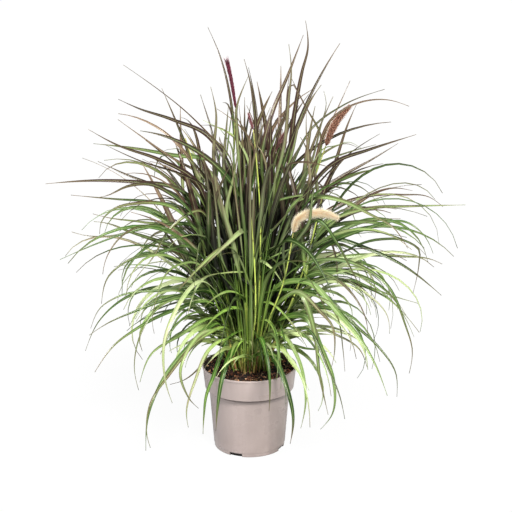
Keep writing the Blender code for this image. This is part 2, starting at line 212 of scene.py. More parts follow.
# An uneven field: sines along random directions, summed and divided by the root of their
# number, so that most of it lies between -1 and 1.
def unevenField(rng, points, wavelength, waves):
    directions = unit(rng.normal(size=(waves, 3))) * (2 * np.pi / wavelength)
    phases = rng.uniform(0, 2 * np.pi, waves)
    return np.sin(points @ directions.T + phases).sum(axis=-1) / math.sqrt(waves)


# Pot

potForm = {
    "height": 173, "rimRadius": 95,
    "bandHeight": 44.5, "bandFootRadius": 89.5,
    "bodyTopRadius": 81.5, "baseRadius": 71.5,
    "wall": 2, "floor": 3, "lip": 3.2, "lipDepth": 4, "lipStep": (1.1, 0.6),
    "collarDepth": 7, "collarStep": 0.5,        # the body's top stands proud of the rest
    "footRing": ((0.6, 9.5), (-0.3, 7.5)),      # steps off the base's radius, and their heights
    "footInset": 0.8, "footRounding": 3.2, "centre": 4,
    "notches": 4, "firstNotch": 247, "notchWidth": 27, "notchHeight": 7.5, "notchDepth": 6,
    "notchSide": 0.15,                          # half the degrees that a notch's side takes
    # painted shade: how dark the corner under the band is painted, for the shade under its overhang
    "cornerShade": 0.5, "cornerLine": 3,         # how dark the corner under the band is, and its depth
    "columns": 256,
}


# An outline with its corners rounded: near each corner it follows the parabola that meets
# both sides at the given distance from the corner.
def roundedOutline(corners, distances, pieces=5):
    corners = np.asarray(corners, float)
    outline = [corners[:1]]
    t = np.linspace(0, 1, pieces)[:, None]
    for before, corner, after, distance in zip(corners, corners[1:], corners[2:], distances[1:-1]):
        start = corner + unit(before - corner) * distance
        end = corner + unit(after - corner) * distance
        outline.append(start * (1 - t) ** 2 + corner * 2 * t * (1 - t) + end * t**2)
    return np.vstack(outline + [corners[-1:]])


# The outline is carried round the axis. Where a column lies in a drain notch, every
# point low down and near the edge is raised to the notch's height. Each corner has its
# radius, its height and the distance that it is rounded over.
def potMesh(form):
    wall, floor, top, centre = (form[key] for key in ("wall", "floor", "height", "centre"))
    rim, band = form["rimRadius"], form["bandFootRadius"]
    body, base = form["bodyTopRadius"], form["baseRadius"]
    bandFoot, lipFoot = top - form["bandHeight"], top - form["lipDepth"]
    line, collar = bandFoot - form["cornerLine"], bandFoot - form["collarDepth"]
    stepIn = base - form["notchDepth"]
    notchTop = form["notchHeight"]
    (ringOut, ringTop), (ringIn, ringFoot) = form["footRing"]
    corners = (
        (centre, floor, 0), (stepIn - 1, floor, 0), (stepIn, floor, 0), (base - wall, floor, 1.5),
        (body - wall, bandFoot + wall, 1), (band - wall, bandFoot + 2 * wall, 1),
        (rim - form["lip"], top, 0.8), (rim, top, 0.9), (rim, lipFoot, 0.6),
        (rim - form["lipStep"][0], lipFoot - form["lipStep"][1], 0.5), (band, bandFoot, 0.7),
        (body + 0.2, bandFoot - 0.2, 0.3), (body, line, 0), (body, line - 0.4, 0),
        (body - 0.2, collar, 0.5), (body - 0.2 - form["collarStep"], collar - form["collarStep"], 0.5),
        (base + ringOut, ringTop, 1), (base + ringIn, ringFoot, 1),
        (base - form["footInset"], 0, form["footRounding"]), (stepIn, 0, 0), (stepIn - 0.1, 0, 0),
        (centre, 0, 0),
    )
    outline = roundedOutline([corner[:2] for corner in corners], [corner[2] for corner in corners])
    half = math.degrees(math.asin(form["notchWidth"] / 2 / base))
    middles = form["firstNotch"] + np.arange(form["notches"]) * 360 / form["notches"]
    sides = np.add.outer((-half, half), (-form["notchSide"], form["notchSide"])).ravel()
    edges = (middles[:, None] + sides).ravel() % 360
    turn = np.sort(np.concatenate([np.linspace(0, 360, form["columns"], endpoint=False), edges]))[::-1]
    away = np.abs((turn[:, None] - middles + 180) % 360 - 180).min(axis=1)
    notched = (away < half)[None, :]
    radius, height = outline[:, :1], outline[:, 1:]
    outer = np.arange(len(outline))[:, None] > np.argmax(height)
    low = (radius > stepIn - 0.05) & (height < notchTop) & outer
    lowInside = (radius > stepIn - 0.5) & (height < notchTop + wall) & ~outer
    raised = np.where(low & notched, notchTop, height)
    raised = np.where(lowInside & notched, notchTop + wall, raised)
    rings = polar(np.radians(turn)[None], radius, raised) * mm
    # the notches' ceilings and back walls are painted with the inside's black: painted shade, as if each
    # notch opened into the dark pot
    notchShade = notched & outer & (np.abs(radius - stepIn - 1) < 3)
    inside = (~outer & (height < lipFoot)) | notchShade
    # a strip just under the band is painted towards the inside's black: painted shade under the overhang
    shadeUnderBand = outer & (height < bandFoot) & (height > line - 0.2) & ~inside
    # the inside mark holds the real black inside, plus the painted shade in the notches and under the band
    return tubeMesh("pot_moulded", rings[None], (turn / 360)[None, None], height[None] / top,
                    {"inside": (inside + form["cornerShade"] * shadeUnderBand)[None]})


# Taupe polypropylene, injection moulded: satin, even in colour, with a fine grain, faint
# vertical flow marks, darker towards the foot and a black inside.
def makePotMaterial(look):
    material, add, inside = newMaterial("mouldedPolypropylene", "inside")
    spot = add("TexCoord", {}, "Object")
    upright = add("Mapping", {0: spot, "Scale": (1, 1, look["drawnUp"])})
    flow, cloud, grain = (
        add("TexNoise", {0: place, "Scale": 1 / (look[key] * mm), "Detail": detail})
        for key, place, detail in (("flow", upright, 3), ("cloud", spot, 4), ("grain", spot, 2)))
    mixed = add("Math", {"operation": "MULTIPLY_ADD", 0: flow, 1: 0.5, 2: cloud})
    shade = add("MapRange", {"Value": mixed, "From Min": 0.5})
    body = add("ValToRGB", {0: shade, "stops": look["body"]})
    height = add("SeparateXYZ", {0: spot}, "Z")
    # the body grows darker towards the foot, in the cloud's patches
    low = add("MapRange", {"Value": height, "From Max": look["footDarkHeight"] * mm,
                           "To Min": look["footDarkShare"], "To Max": 0})
    footDark = add("Math", {"operation": "MULTIPLY", 0: low, 1: cloud})
    # the inside colour paints the real black inside, and also the painted shade under the band and in the
    # notches
    for share, colour in ((footDark, look["footDark"]), (inside, look["inside"])):
        body = add("Mix", {"data_type": "RGBA", 0: share, 6: body, 7: colour}, 2)
    smooth, rough = look["roughness"]
    uneven = add("MapRange", {"Value": cloud, "To Min": smooth, "To Max": rough})
    fine = add("Bump", {"Height": grain, "Strength": 0.25, "Distance": 0.1 * mm})
    wavy = add("Bump", {"Height": flow, "Strength": 0.5, "Distance": 0.35 * mm, "Normal": fine})
    shader = add("BsdfPrincipled", {"Base Color": body, "Roughness": uneven, "IOR": 1.49, "Normal": wavy})
    add("OutputMaterial", {"Surface": shader})
    return material


potLook = {
    "body": ((0.0, "#988D8B"), (0.5, "#9D9290"), (1.0, "#A29795")),
    # the black inside; the same colour is painted as shade into the notches and the corner under the band
    "inside": "#0E0B09",
    "footDark": "#766C69", "footDarkHeight": 190, "footDarkShare": 0.95,
    "flow": 9, "drawnUp": 0.05,             # width of a flow mark, and what that is of its height
    "cloud": 38, "grain": 0.8,              # the real grain is about 0.2 mm; drawn coarser
    "roughness": (0.24, 0.32),
}
addPiece("pot_moulded", potMesh(potForm), makePotMaterial(potLook), ("pot",))
print("pot made")


# Soil

soilForm = {
    "level": 166, "floor": 3.5, "floorRadius": 69,
    "crownRise": 3, "crownSlope": (38, 60),         # radius where the crown's slope starts and ends
    "edge": 90.5, "edgeWidth": 9, "edgeDrop": 2.5, "centre": (1.5, 4),
    "shoulder": ((86.8, 133), (78.8, 131)),         # under the pot's band
    "rings": 84, "columns": 220,
    "lumps": ((30, 1.6), (11, 1.3), (4.5, 1.0)),    # spacing and height
    "waves": 14, "deepest": -0.9,
}


# The top is a level disc with a raised crown, plus an uneven field for each size of lump
def soilHeight(x, y, form):
    radius = np.hypot(x, y)
    height = form["level"] + form["crownRise"] * (1 - smoothStep(*form["crownSlope"], radius))
    height = height - form["edgeDrop"] * smoothStep(form["edge"] - form["edgeWidth"], form["edge"], radius)
    spots = np.stack([x, y, np.zeros_like(x)], axis=-1)
    for seed, (spacing, rise) in enumerate(form["lumps"]):
        field = unevenField(np.random.default_rng(seed), spots, spacing, form["waves"])
        height = height + rise * np.maximum(field, form["deepest"])
    return height


# rings of the soil's height from its middle to its edge, then down its side and underneath
def soilMesh(form):
    first, last = form["centre"]
    radius = np.linspace(first, form["edge"], form["rings"])[:, None]
    turn = np.linspace(0, 2 * np.pi, form["columns"], endpoint=False)[None, ::-1]
    x, y = radius * np.cos(turn), radius * np.sin(turn)
    top = np.stack([x, y, soilHeight(x, y, form)], axis=-1)
    side = np.array([*form["shoulder"], (form["floorRadius"], form["floor"]), (last, form["floor"])])
    rings = np.concatenate([top, polar(turn, side[:, :1], side[:, 1:])]) * mm
    along = np.linspace(0, 1, len(rings))[None, :, None]
    return tubeMesh("soil_mix", rings[None], turn[None] / (2 * np.pi), along)


# places spread evenly over a disc, by the square root of chance
def discSpots(rng, form):
    turn = rng.uniform(0, 2 * np.pi, form["count"])
    radius = form["reach"] * np.sqrt(rng.uniform(0, 1, form["count"]))
    return radius * np.cos(turn), radius * np.sin(turn)


# Irregular crumbs: rings of five points about a random axis, swollen in the middle and
# each point moved a little, in sizes that favour the small ones.
def crumbMesh(form, soil):
    rng = np.random.default_rng(form["seed"])
    count = form["count"]
    x, y = discSpots(rng, form)
    least, most = form["size"]
    size = least + (most - least) * rng.uniform(0, 1, count) ** form["mostlySmall"]
    middle = np.stack([x, y, soilHeight(x, y, soil) + size * form["lift"]], axis=-1)
    axis = unit(rng.normal(size=(count, 3)) * (1, 1, 0.5))
    span = (size * rng.uniform(*form["length"], count))[:, None, None]
    routes = middle[:, None] + axis[:, None] * np.array(form["along"])[:, None] * span
    rings = roundRings(routes, form["swell"] * (size * rng.uniform(*form["girth"], count))[:, None], 5)
    rings = rings + rng.normal(size=rings.shape) * (size * form["jagged"])[:, None, None, None]
    shade = rng.uniform(0, 1, count)[:, None, None]
    return tubeMesh("bark_crumbs", rings * mm, 0.0, 0.0, {"chance": shade})


# Thin pale roots that lie on the soil in slight bends
def fibreMesh(form, soil):
    rng = np.random.default_rng(form["seed"])
    count, rings = form["count"], form["rings"]
    x, y = discSpots(rng, form)
    level = np.zeros(count)
    routes = bentRoutes(np.stack([x, y, level], axis=-1), rng.uniform(0, 2 * np.pi, count),
                        rng.uniform(*form["length"], count), level, level, np.ones(count),
                        rng.normal(0, form["drift"], count), rings)
    reach = np.linalg.norm(routes[..., :2], axis=-1, keepdims=True)
    routes[..., :2] *= np.minimum(1, (soil["edge"] - form["inset"]) / reach)
    lift = rng.uniform(*form["lift"], (count, 1)) * (1 + np.sin(np.linspace(0, np.pi, rings)))[None]
    routes[..., 2] = soilHeight(routes[..., 0], routes[..., 1], soil) + lift
    radii = rng.uniform(*form["radius"], (count, 1)) * np.linspace(1, form["tip"], rings)
    marks = {"chance": rng.uniform(0, 1, count)[:, None, None]}
    return roundMesh("root_fibres", routes * mm, radii * mm, 5, marks)


# Damp peat: almost black-brown, matt, crumbly, with redder bark showing on the lumps
def makePeatMaterial(look):
    material, add = newMaterial("dampPeat")
    spot = add("TexCoord", {}, "Object")
    grit = add("TexNoise", {0: spot, "Scale": 1 / (look["grit"] * mm), "Detail": 5})
    clod = add("TexVoronoi", {0: spot, "Scale": 1 / (look["clod"] * mm)}, "Distance")
    both = add("Math", {"operation": "MULTIPLY_ADD", 0: clod, 1: -0.45, 2: grit})
    body = add("ValToRGB", {0: both, "stops": look["body"]})
    bump = add("Bump", {"Height": both, "Strength": 0.9, "Distance": 1.2 * mm})
    shader = add("BsdfPrincipled", {"Base Color": body, "Roughness": 0.9, "Normal": bump})
    add("OutputMaterial", {"Surface": shader})
    return material


# Chips of bark and dry root: matt, from dark red-brown to pale tan, each its own shade
def makeChipMaterial(name, look):
    material, add, chance = newMaterial(name, "chance")
    spot = add("TexCoord", {}, "Object")
    grain = add("TexNoise", {0: spot, "Scale": 1 / (look["grain"] * mm), "Detail": 3})
    shift = add("Math", {"operation": "MULTIPLY_ADD", 0: grain, 1: 0.3, 2: -0.15})
    place = add("Math", {"operation": "ADD", 0: shift, 1: chance})
    body = add("ValToRGB", {0: place, "stops": look["body"]})
    bump = add("Bump", {"Height": grain, "Strength": 0.5, "Distance": 0.3 * mm})
    shader = add("BsdfPrincipled", {"Base Color": body, "Roughness": 0.8, "Normal": bump})
    add("OutputMaterial", {"Surface": shader})
    return material


peatLook = {
    "body": ((0.2, "#0D0806"), (0.5, "#20140E"), (0.68, "#3A251A"), (0.85, "#5A3A28")),
    "grit": 1.4, "clod": 4.5,
}
crumbForm = {
    "seed": 11, "count": 1900, "reach": 88, "size": (1.5, 6.0), "mostlySmall": 2.5,
    # the rest are shares of a crumb's size
    "length": (0.6, 1.3), "along": (-0.54, -0.21, 0.21, 0.54),
    "girth": (0.3, 0.6), "swell": (0.35, 0.95, 0.9, 0.3),
    "lift": 0.15, "jagged": 0.07,
}
crumbLook = {
    "body": ((0.0, "#20110B"), (0.4, "#3E2218"), (0.75, "#6A3E2C"), (0.92, "#A0704E"), (1.0, "#D0AC8A")),
    "grain": 1.2,
}
fibreForm = {
    "seed": 12, "count": 170, "reach": 84, "length": (6, 22), "radius": (0.22, 0.45), "tip": 0.4,
    "drift": 1.3, "inset": 3, "lift": (0.3, 1.6), "rings": 8,
}
fibreLook = {"body": ((0.0, "#6B4A34"), (0.6, "#A78462"), (1.0, "#D2B894")), "grain": 2}
addPiece("soil_mix", soilMesh(soilForm), makePeatMaterial(peatLook), ("soil",))
addPiece("bark_crumbs", crumbMesh(crumbForm, soilForm), makeChipMaterial("barkChip", crumbLook))
addPiece("root_fibres", fibreMesh(fibreForm, soilForm), makeChipMaterial("dryRoot", fibreLook))
print("soil made")


# Culms

culmForm = {
    "routes": {
        "culm_crimson_flower": ((-14, 5, 169.3), (-24, 14, 400), (-30, 16, 600), (-26, 15, 696)),
        "culm_brown_flower": ((26, 9, 169.3), (60, 15, 330), (110, 18, 500), (149, 20, 620)),
        "culm_pink_flower": ((6, 14, 169.3), (18, 22, 350), (37, 25, 560), (43, 25, 598)),
        "culm_young_flower": ((10, -10, 169.3), (18, -21, 300), (21, -20, 500), (8, -10, 660)),
        "culm_cream_flower": ((12, -14, 169.3), (34, -45, 270), (66, -84, 375), (84, -100, 480)),
        "culm_leafy_front": ((0, -26, 169.3), (12, -42, 300), (8, -60, 440), (2, -70, 520)),
        "culm_leafy_left": ((-30, -2, 169.3), (-52, -4, 350), (-82, 0, 494), (-124, 4, 640)),
        "culm_leafy_right": ((34, -10, 169.3), (62, -28, 260), (98, -38, 360), (142, -42, 540)),
    },
    "buried": 8,
    "radius": 2.2, "taper": 0.5,
    "jointSpacing": 92, "firstJoint": 0.2, "jointSwell": 0.3, "jointLength": 2.2,
    "rings": 120, "sides": 12,
    "shade": 0.5,       # where the culms stand between the tillers' darkest and palest
}


# Radius that falls evenly to the tip and swells at each joint, by a bell curve of the
# distance to the nearest joint
def culmMesh(name, routes, radius, form):
    gone = np.cumsum(np.linalg.norm(np.diff(routes, axis=1, prepend=routes[:, :1]), axis=2), axis=1)
    share = gone / gone[:, -1:]
    spacing = form["jointSpacing"] * mm
    nearest = np.abs((gone / spacing - form["firstJoint"] + 0.5) % 1 - 0.5) * spacing
    bell = np.exp(-((nearest / (form["jointLength"] * mm)) ** 2))
    radii = radius * (1 - form["taper"] * share) * (1 + form["jointSwell"] * bell)
    marks = {"joint": bell[..., None], "rise": share[..., None], "chance": form["shade"]}
    return roundMesh(name, routes, radii, form["sides"], marks)


# Grass stem: smooth and waxy, yellow-green above, with dry straw-coloured sheaths at the
# foot and a dark line at each joint
def makeStemMaterial(name, look):
    material, add, joint, rise, chance = newMaterial(name, "joint", "rise", "chance")
    spot = add("TexCoord", {}, "Object")
    stretched = add("Mapping", {0: spot, "Scale": (1, 1, 0.06)})
    grain = add("TexNoise", {0: stretched, "Scale": 1 / (look["grain"] * mm), "Detail": 2})
    wander = add("Math", {"operation": "MULTIPLY_ADD", 0: grain, 1: 0.3, 2: rise})
    spread = add("Math", {"operation": "MULTIPLY_ADD", 0: chance, 1: 0.3, 2: -0.3})
    place = add("Math", {"operation": "ADD", 0: wander, 1: spread})
    body = add("ValToRGB", {0: place, "stops": look["stops"]})
    ring = add("Math", {"operation": "MULTIPLY", 0: joint, 1: 0.8})
    body = add("Mix", {"data_type": "RGBA", 0: ring, 6: body, 7: look["joint"]}, 2)
    bump = add("Bump", {"Height": grain, "Strength": 0.3, "Distance": 0.15 * mm})
    shader = add("BsdfPrincipled", {"Base Color": body, "Roughness": 0.4, "Normal": bump})
    add("OutputMaterial", {"Surface": shader})
    return material


culmLook = {
    "stops": ((0.0, "#B8966A"), (0.14, "#CBB478"), (0.3, "#C8D674"), (0.75, "#B6C862"), (1.0, "#98985E")),
    "joint": "#4E3B22", "grain": 1.1,
}
culmMaterial = makeStemMaterial("waxyCulm", culmLook)
culmRoutes = {}
for name, points in culmForm["routes"].items():
    foot = np.array(points[0]) - (0, 0, culmForm["buried"])
    culmRoutes[name] = smoothRoute(np.vstack([foot, points]) * mm, culmForm["rings"])
    mesh = culmMesh(name + "_stem", culmRoutes[name][None], culmForm["radius"] * mm, culmForm)
    addPiece(name + "_stem", mesh, culmMaterial, (name,))
print("culms made")


# Leaf blades

bladeForm = {
    "footShare": 0.25,      # width at the foot, as a share of the widest
    "widensUntil": 0.38,    # share of the length
    "narrowing": 2.4,       # power that it narrows by to its tip
    "tipWidth": 1.0,
    "fold": 20,             # degrees that each half rises from the midrib
    "thickness": 0.6, "thinnest": 0.8,      # millimetres, and the most as a share of half its width
    "faceFront": 65,        # degrees that a side leaf rolls its upper face to the front
    "uprightFace": 0.85,    # how far an upright one turns to face it
    "outerFrom": 0.4,       # share of the length past which its climb is taken
    "upright": (0.6, 0.9),  # climb between level and upright leaves
    "purpleShare": (0.1, 1.15), "purpleGrows": (0.05, 0.65),    # least and gain, and where it grows
    # painted shade: leaves in the heart, the zone round the axis given below, are painted darker
    "heart": (75, 150), "heartTop": (430, 640),     # radius and height where its shade ends
    "heartFoot": (190, 320), "footShade": 0.4,      # heights where it grows full, share below them
    "young": (70, 165), "youngTop": (280, 460),     # radius and height where young green ends
    "brownFrom": (250, 430),    # heights between which the crowded leaves turn from green to their tone
}


# Folded blades on routes (leaves, rings, 3). The width opens smoothly from the foot and
# then falls as one less a power of the share that is grown. At each point the level
# direction is the sideways one made square to the route, and the roll turns it and the
# upward one. The lower face lies under the upper one by the blade's thickness.
def bladeMesh(name, routes, widest, azimuths, rolls, grown, marks, columns=3):
    share = np.linspace(0, 1, routes.shape[1])[None]
    opening = smoothStep(0, bladeForm["widensUntil"], grown)
    foot = bladeForm["footShare"]
    widths = np.asarray(widest)[:, None] * (foot + (1 - foot) * opening)
    widths = widths * (1 - grown ** bladeForm["narrowing"])
    half = np.maximum(widths, bladeForm["tipWidth"] * mm)[..., None, None] / 2
    along = unit(np.gradient(routes, axis=1))
    sideways = polar(np.asarray(azimuths) + np.pi / 2, 1.0, 0.0)[:, None]
    level = unit(sideways - along * (sideways * along).sum(-1, keepdims=True))
    upper = np.cross(along, level)
    roll = np.broadcast_to(rolls, routes.shape[:2])[..., None]
    out = (level * np.cos(roll) - upper * np.sin(roll))[:, :, None]
    rise = (upper * np.cos(roll) + level * np.sin(roll))[:, :, None]
    place = np.linspace(1, -1, columns)[:, None]
    lift = math.tan(math.radians(bladeForm["fold"])) * np.abs(place)
    face = routes[:, :, None] + (out * place + rise * lift) * half
    thick = np.minimum(bladeForm["thickness"] * mm, half * bladeForm["thinnest"])
    depth = (1 - np.abs(place[-2:0:-1])) ** 0.5 * thick
    rings = np.concatenate([face, face[:, :, -2:0:-1] - rise * depth], axis=2)
    across = np.concatenate([place[:, 0], place[-2:0:-1, 0]]) / 2 + 0.5
    below = np.concatenate([np.zeros(columns), np.ones(columns - 2)])
    shaped = {key: value[:, :, None] for key, value in marks.items()}
    shaped |= {"below": below, "young": zoneMark(routes, "young")[..., None]}
    return tubeMesh(name, rings, across, share[..., None], shaped, (0, columns // 2, columns - 1))


# The roll that turns blades' faces to the front. A level one rolls by the given angle times
# the cosine of its azimuth, an upright one by the angle with the cosine over the sine as
# its tangent; the climb of the outer part says how upright it is.
def frontRoll(routes, azimuths, levelRoll):
    outer = routes[:, int(routes.shape[1] * bladeForm["outerFrom"]):]
    climb = (outer[:, -1, 2] - outer[:, 0, 2]) / np.linalg.norm(np.diff(outer, axis=1), axis=2).sum(axis=1)
    steep = smoothStep(*bladeForm["upright"], climb)
    side = np.where(np.sin(azimuths) > 0, -1, 1)
    upright = np.arctan2(side * np.cos(azimuths), np.abs(np.sin(azimuths)))
    level = math.radians(levelRoll) * np.cos(azimuths)
    return bladeForm["uprightFace"] * upright * steep - level * (1 - steep)


# Marks that colour a blade: purple grows from the foot to the tip with the leaf's tone
def bladeMarks(tone, chance, dry, grown, heart):
    tone, chance, dry = (np.reshape(value, (-1, 1)) for value in (tone, chance, dry))
    least, gain = bladeForm["purpleShare"]
    purple = tone * (least + gain * smoothStep(*bladeForm["purpleGrows"], grown))
    return {"purple": purple, "chance": chance, "dry": dry, "heart": heart}


# how far inside a zone round the axis a point is: one deep inside, nothing outside and above
def zoneMark(routes, zone):
    radius = np.hypot(routes[..., 0], routes[..., 1]) / mm
    inside = 1 - smoothStep(*bladeForm[zone], radius)
    return inside * (1 - smoothStep(*bladeForm[zone + "Top"], routes[..., 2] / mm))


# painted shade of the crowded heart: its zone, with only a share of it near the ground
def paintedHeartShade(routes):
    full = smoothStep(*bladeForm["heartFoot"], routes[..., 2] / mm)
    return zoneMark(routes, "heart") * (bladeForm["footShade"] + (1 - bladeForm["footShade"]) * full)


# Fountain grass blade: thin, ribbed and satin, green low down and purple-brown above. It
# gives the eye long soft highlights, a pale midrib and light that glows through.
def makeBladeMaterial(look):
    material, add, purple, chance, dry, below, heart, young = newMaterial(
        "grassBlade", "purple", "chance", "dry", "below", "heart", "young")
    uv = add("UVMap", {"uv_map": "surfaceMap"})
    across, along = (add("SeparateXYZ", {0: uv}, axis) for axis in "XY")
    spot = add("TexCoord", {}, "Object")
    patchy = add("TexNoise", {0: spot, "Scale": 1 / (look["patch"] * mm), "Detail": 3})
    shift = add("Math", {"operation": "MULTIPLY_ADD", 0: patchy, 1: 0.5, 2: -0.25})
    hue = add("Math", {"operation": "ADD", 0: chance, 1: shift})
    green, brown = (add("ValToRGB", {0: hue, "stops": look[key]}) for key in ("greens", "browns"))
    # brown grows with the purple mark, from the margins inwards and in patches
    middle = add("Math", {"operation": "SUBTRACT", 0: across, 1: 0.5})
    away = add("Math", {"operation": "ABSOLUTE", 0: middle})
    margin = add("MapRange", {"Value": away, "From Min": 0.1, "From Max": 0.5,
                              "To Min": -0.12, "To Max": 0.22})
    blotch = add("Math", {"operation": "MULTIPLY_ADD", 0: patchy, 1: 0.8, 2: -0.4})
    spread = add("Math", {"operation": "ADD", 0: margin, 1: blotch})
    amount = add("Math", {"operation": "MULTIPLY_ADD", 0: purple, 1: 1.15, 2: spread})
    browned = add("MapRange", {"Value": amount, "From Min": 0.2, "From Max": 0.75})
    foot = add("MapRange", {"Value": along, "From Max": look["footUntil"],
                            "To Min": look["footShare"], "To Max": 0})
    rib = add("MapRange", {"Value": away, "From Min": 0.02, "From Max": 0.1,
                           "To Min": look["ribShare"], "To Max": 0})
    body = green
    for share, colour in ((browned, brown), (foot, look["foot"]), (rib, look["rib"])):
        body = add("Mix", {"data_type": "RGBA", 0: share, 6: body, 7: colour}, 2)
    # veins run along the blade, as a sine across it
    turn = add("Math", {"operation": "MULTIPLY", 0: across, 1: 2 * math.pi * look["veins"]})
    veins = add("Math", {"operation": "SINE", 0: turn})
    veinShade = add("Math", {"operation": "MULTIPLY_ADD", 0: veins, 1: 0.08, 2: 0.97})
    body = add("VectorMath", {"operation": "SCALE", 0: body, "Scale": veinShade})
    under = add("Math", {"operation": "MULTIPLY", 0: below, 1: look["underShare"]})
    tip = add("MapRange", {"Value": along, "From Min": 0.78, "From Max": 0.96})
    withered = add("Math", {"operation": "MULTIPLY", 0: tip, 1: dry})
    for share, colour in ((under, look["under"]), (withered, look["withered"])):
        body = add("Mix", {"data_type": "RGBA", 0: share, 6: body, 7: colour}, 2)
    tinted = add("VectorMath", {"operation": "MULTIPLY", 0: body, 1: look["young"]})
    body = add("Mix", {"data_type": "RGBA", 0: young, 6: body, 7: tinted}, 2)
    # painted shade: the crowded heart, where little light reaches, is painted darker
    bright = add("Math", {"operation": "MULTIPLY_ADD", 0: heart, 1: -look["heartShade"], 2: 1})
    body = add("VectorMath", {"operation": "SCALE", 0: body, "Scale": bright})
    bump = add("Bump", {"Height": veins, "Strength": 0.2, "Distance": 0.2 * mm})
    shader = add("BsdfPrincipled", {
        "Base Color": body, "Normal": bump, "IOR": 1.5,
        "Roughness": look["roughness"], "Specular IOR Level": look["sheen"]})
    glow = add("VectorMath", {"operation": "MULTIPLY", 0: body, 1: look["glow"]})
    thin = add("BsdfTranslucent", {"Color": glow})
    both = add("MixShader", {0: look["through"], 1: shader, 2: thin})
    add("OutputMaterial", {"Surface": both})
    return material


bladeLook = {
    "greens": ((0.0, "#1C320C"), (0.35, "#486830"), (0.7, "#849C60"), (1.0, "#BEC8A0")),
    "browns": ((0.0, "#261A16"), (0.4, "#43302A"), (0.75, "#624C3E"), (1.0, "#867060")),
    "young": (1.2, 1.35, 0.8),     # leaves near the crown are younger, brighter and yellower
    "heartShade": 0.92,     # painted shade: what the crowded heart, where little light reaches, takes from the colour
    "foot": "#9CAC4C", "footUntil": 0.2, "footShare": 0.8,
    "rib": "#C4CC98", "ribShare": 0.4,
    "under": "#98A078", "underShare": 0.35,
    "withered": "#6A5A46",
    "patch": 40,
    "veins": 9,             # a real blade has about twice as many; drawn so that they show
    "roughness": 0.32, "sheen": 0.5,
    "through": 0.16, "glow": (1.15, 1.25, 0.65),
}
bladeMaterial = makeBladeMaterial(bladeLook)


# Leaves that show one by one. Each has the azimuth that it leans to in degrees from +X,
# the radius of its foot, or its culm and the height on it, its width, its tone from green
# to purple, and points on its midrib as radius and height, ending at the tip.
crownLeaves = {
    "leaf_left_low": (202, 25, 11, 0.15,
        ((70, 370), (125, 480), (180, 485), (240, 480), (305, 465), (385, 440))),
    "leaf_left_rising": (153, 19, 10, 0.20, ((80, 400), (150, 480), (220, 485), (305, 480), (415, 475))),
    "leaf_left_back": (139, 30, 9, 0.30, ((90, 340), (190, 420), (295, 415), (405, 405), (445, 405))),
    "leaf_left_olive": (216, 32, 11, 0.35,
        ((75, 420), (120, 515), (185, 490), (225, 440), (265, 405), (275, 390))),
    "leaf_low_left_broad": (206, 38, 10, 0.10, ((95, 345), (165, 340), (240, 325), (310, 305), (340, 290))),
    "leaf_lowest_left": (233, 24, 8, 0.40,
        ((80, 275), (150, 275), (250, 230), (310, 185), (320, 140), (310, 100))),
    "leaf_lowest_left_broad": (226, 43, 11, 0.10,
        ((95, 285), (170, 255), (235, 210), (275, 150), (285, 75))),
    "leaf_pot_front_left": (246, 30, 13, 0.05, ((50, 235), (90, 225), (130, 190), (150, 140), (160, 90))),
    "leaf_pot_front": (283, 28, 11, 0.00, ((60, 245), (110, 265), (150, 245), (175, 205), (170, 140))),
    "leaf_pot_front_right": (300, 38, 13, 0.00, ((60, 230), (105, 215), (145, 175), (170, 125), (160, 60))),
    "leaf_pot_right": (305, 26, 10, 0.10, ((65, 250), (110, 270), (170, 230), (190, 170), (175, 95))),
    "leaf_low_right_pale": (314, 40, 14, 0.25, ((90, 330), (140, 360), (180, 295), (195, 210), (220, 130))),
    "leaf_low_right_falling": (321, 42, 13, 0.10,
        ((85, 290), (140, 305), (180, 250), (210, 190), (210, 125), (180, 80))),
    "leaf_low_right_broad": (318, 28, 14, 0.05,
        ((90, 365), (160, 380), (230, 335), (280, 300), (320, 255), (350, 200))),
    "leaf_low_right_far": (349, 40, 6, 0.20, ((90, 360), (180, 385), (275, 335), (320, 290), (340, 265))),
    "leaf_right_brown": (21, 14, 10, 0.85,
        ((90, 400), (170, 480), (265, 500), (330, 495), (390, 485), (425, 460))),
    "leaf_front_reach": (271, 38, 10, 0.25, ((75, 330), (140, 400), (220, 405), (310, 370), (390, 320))),
    "leaf_front_left_reach": (260, 34, 10, 0.20, ((90, 330), (180, 370), (260, 345), (340, 280))),
    "leaf_front_right_reach": (296, 24, 10, 0.20, ((90, 390), (170, 440), (250, 430), (330, 380))),
    "leaf_back_reach": (92, 32, 11, 0.35, ((80, 360), (160, 440), (250, 460), (330, 440), (400, 395))),
    "leaf_back_left_low": (116, 37, 10, 0.15, ((90, 300), (180, 330), (270, 300), (330, 235))),
    "leaf_right_low": (12, 40, 10, 0.10, ((85, 300), (160, 340), (240, 320), (310, 270), (345, 205))),
    "leaf_back_right_rising": (46, 30, 10, 0.35,
        ((85, 390), (150, 470), (240, 500), (330, 480), (395, 430))),
    "leaf_left_far_low": (168, 40, 10, 0.10, ((85, 290), (165, 325), (250, 300), (315, 240), (345, 175))),
    "leaf_back_right_low": (55, 36, 10, 0.20, ((90, 300), (190, 340), (290, 320), (360, 260))),
}
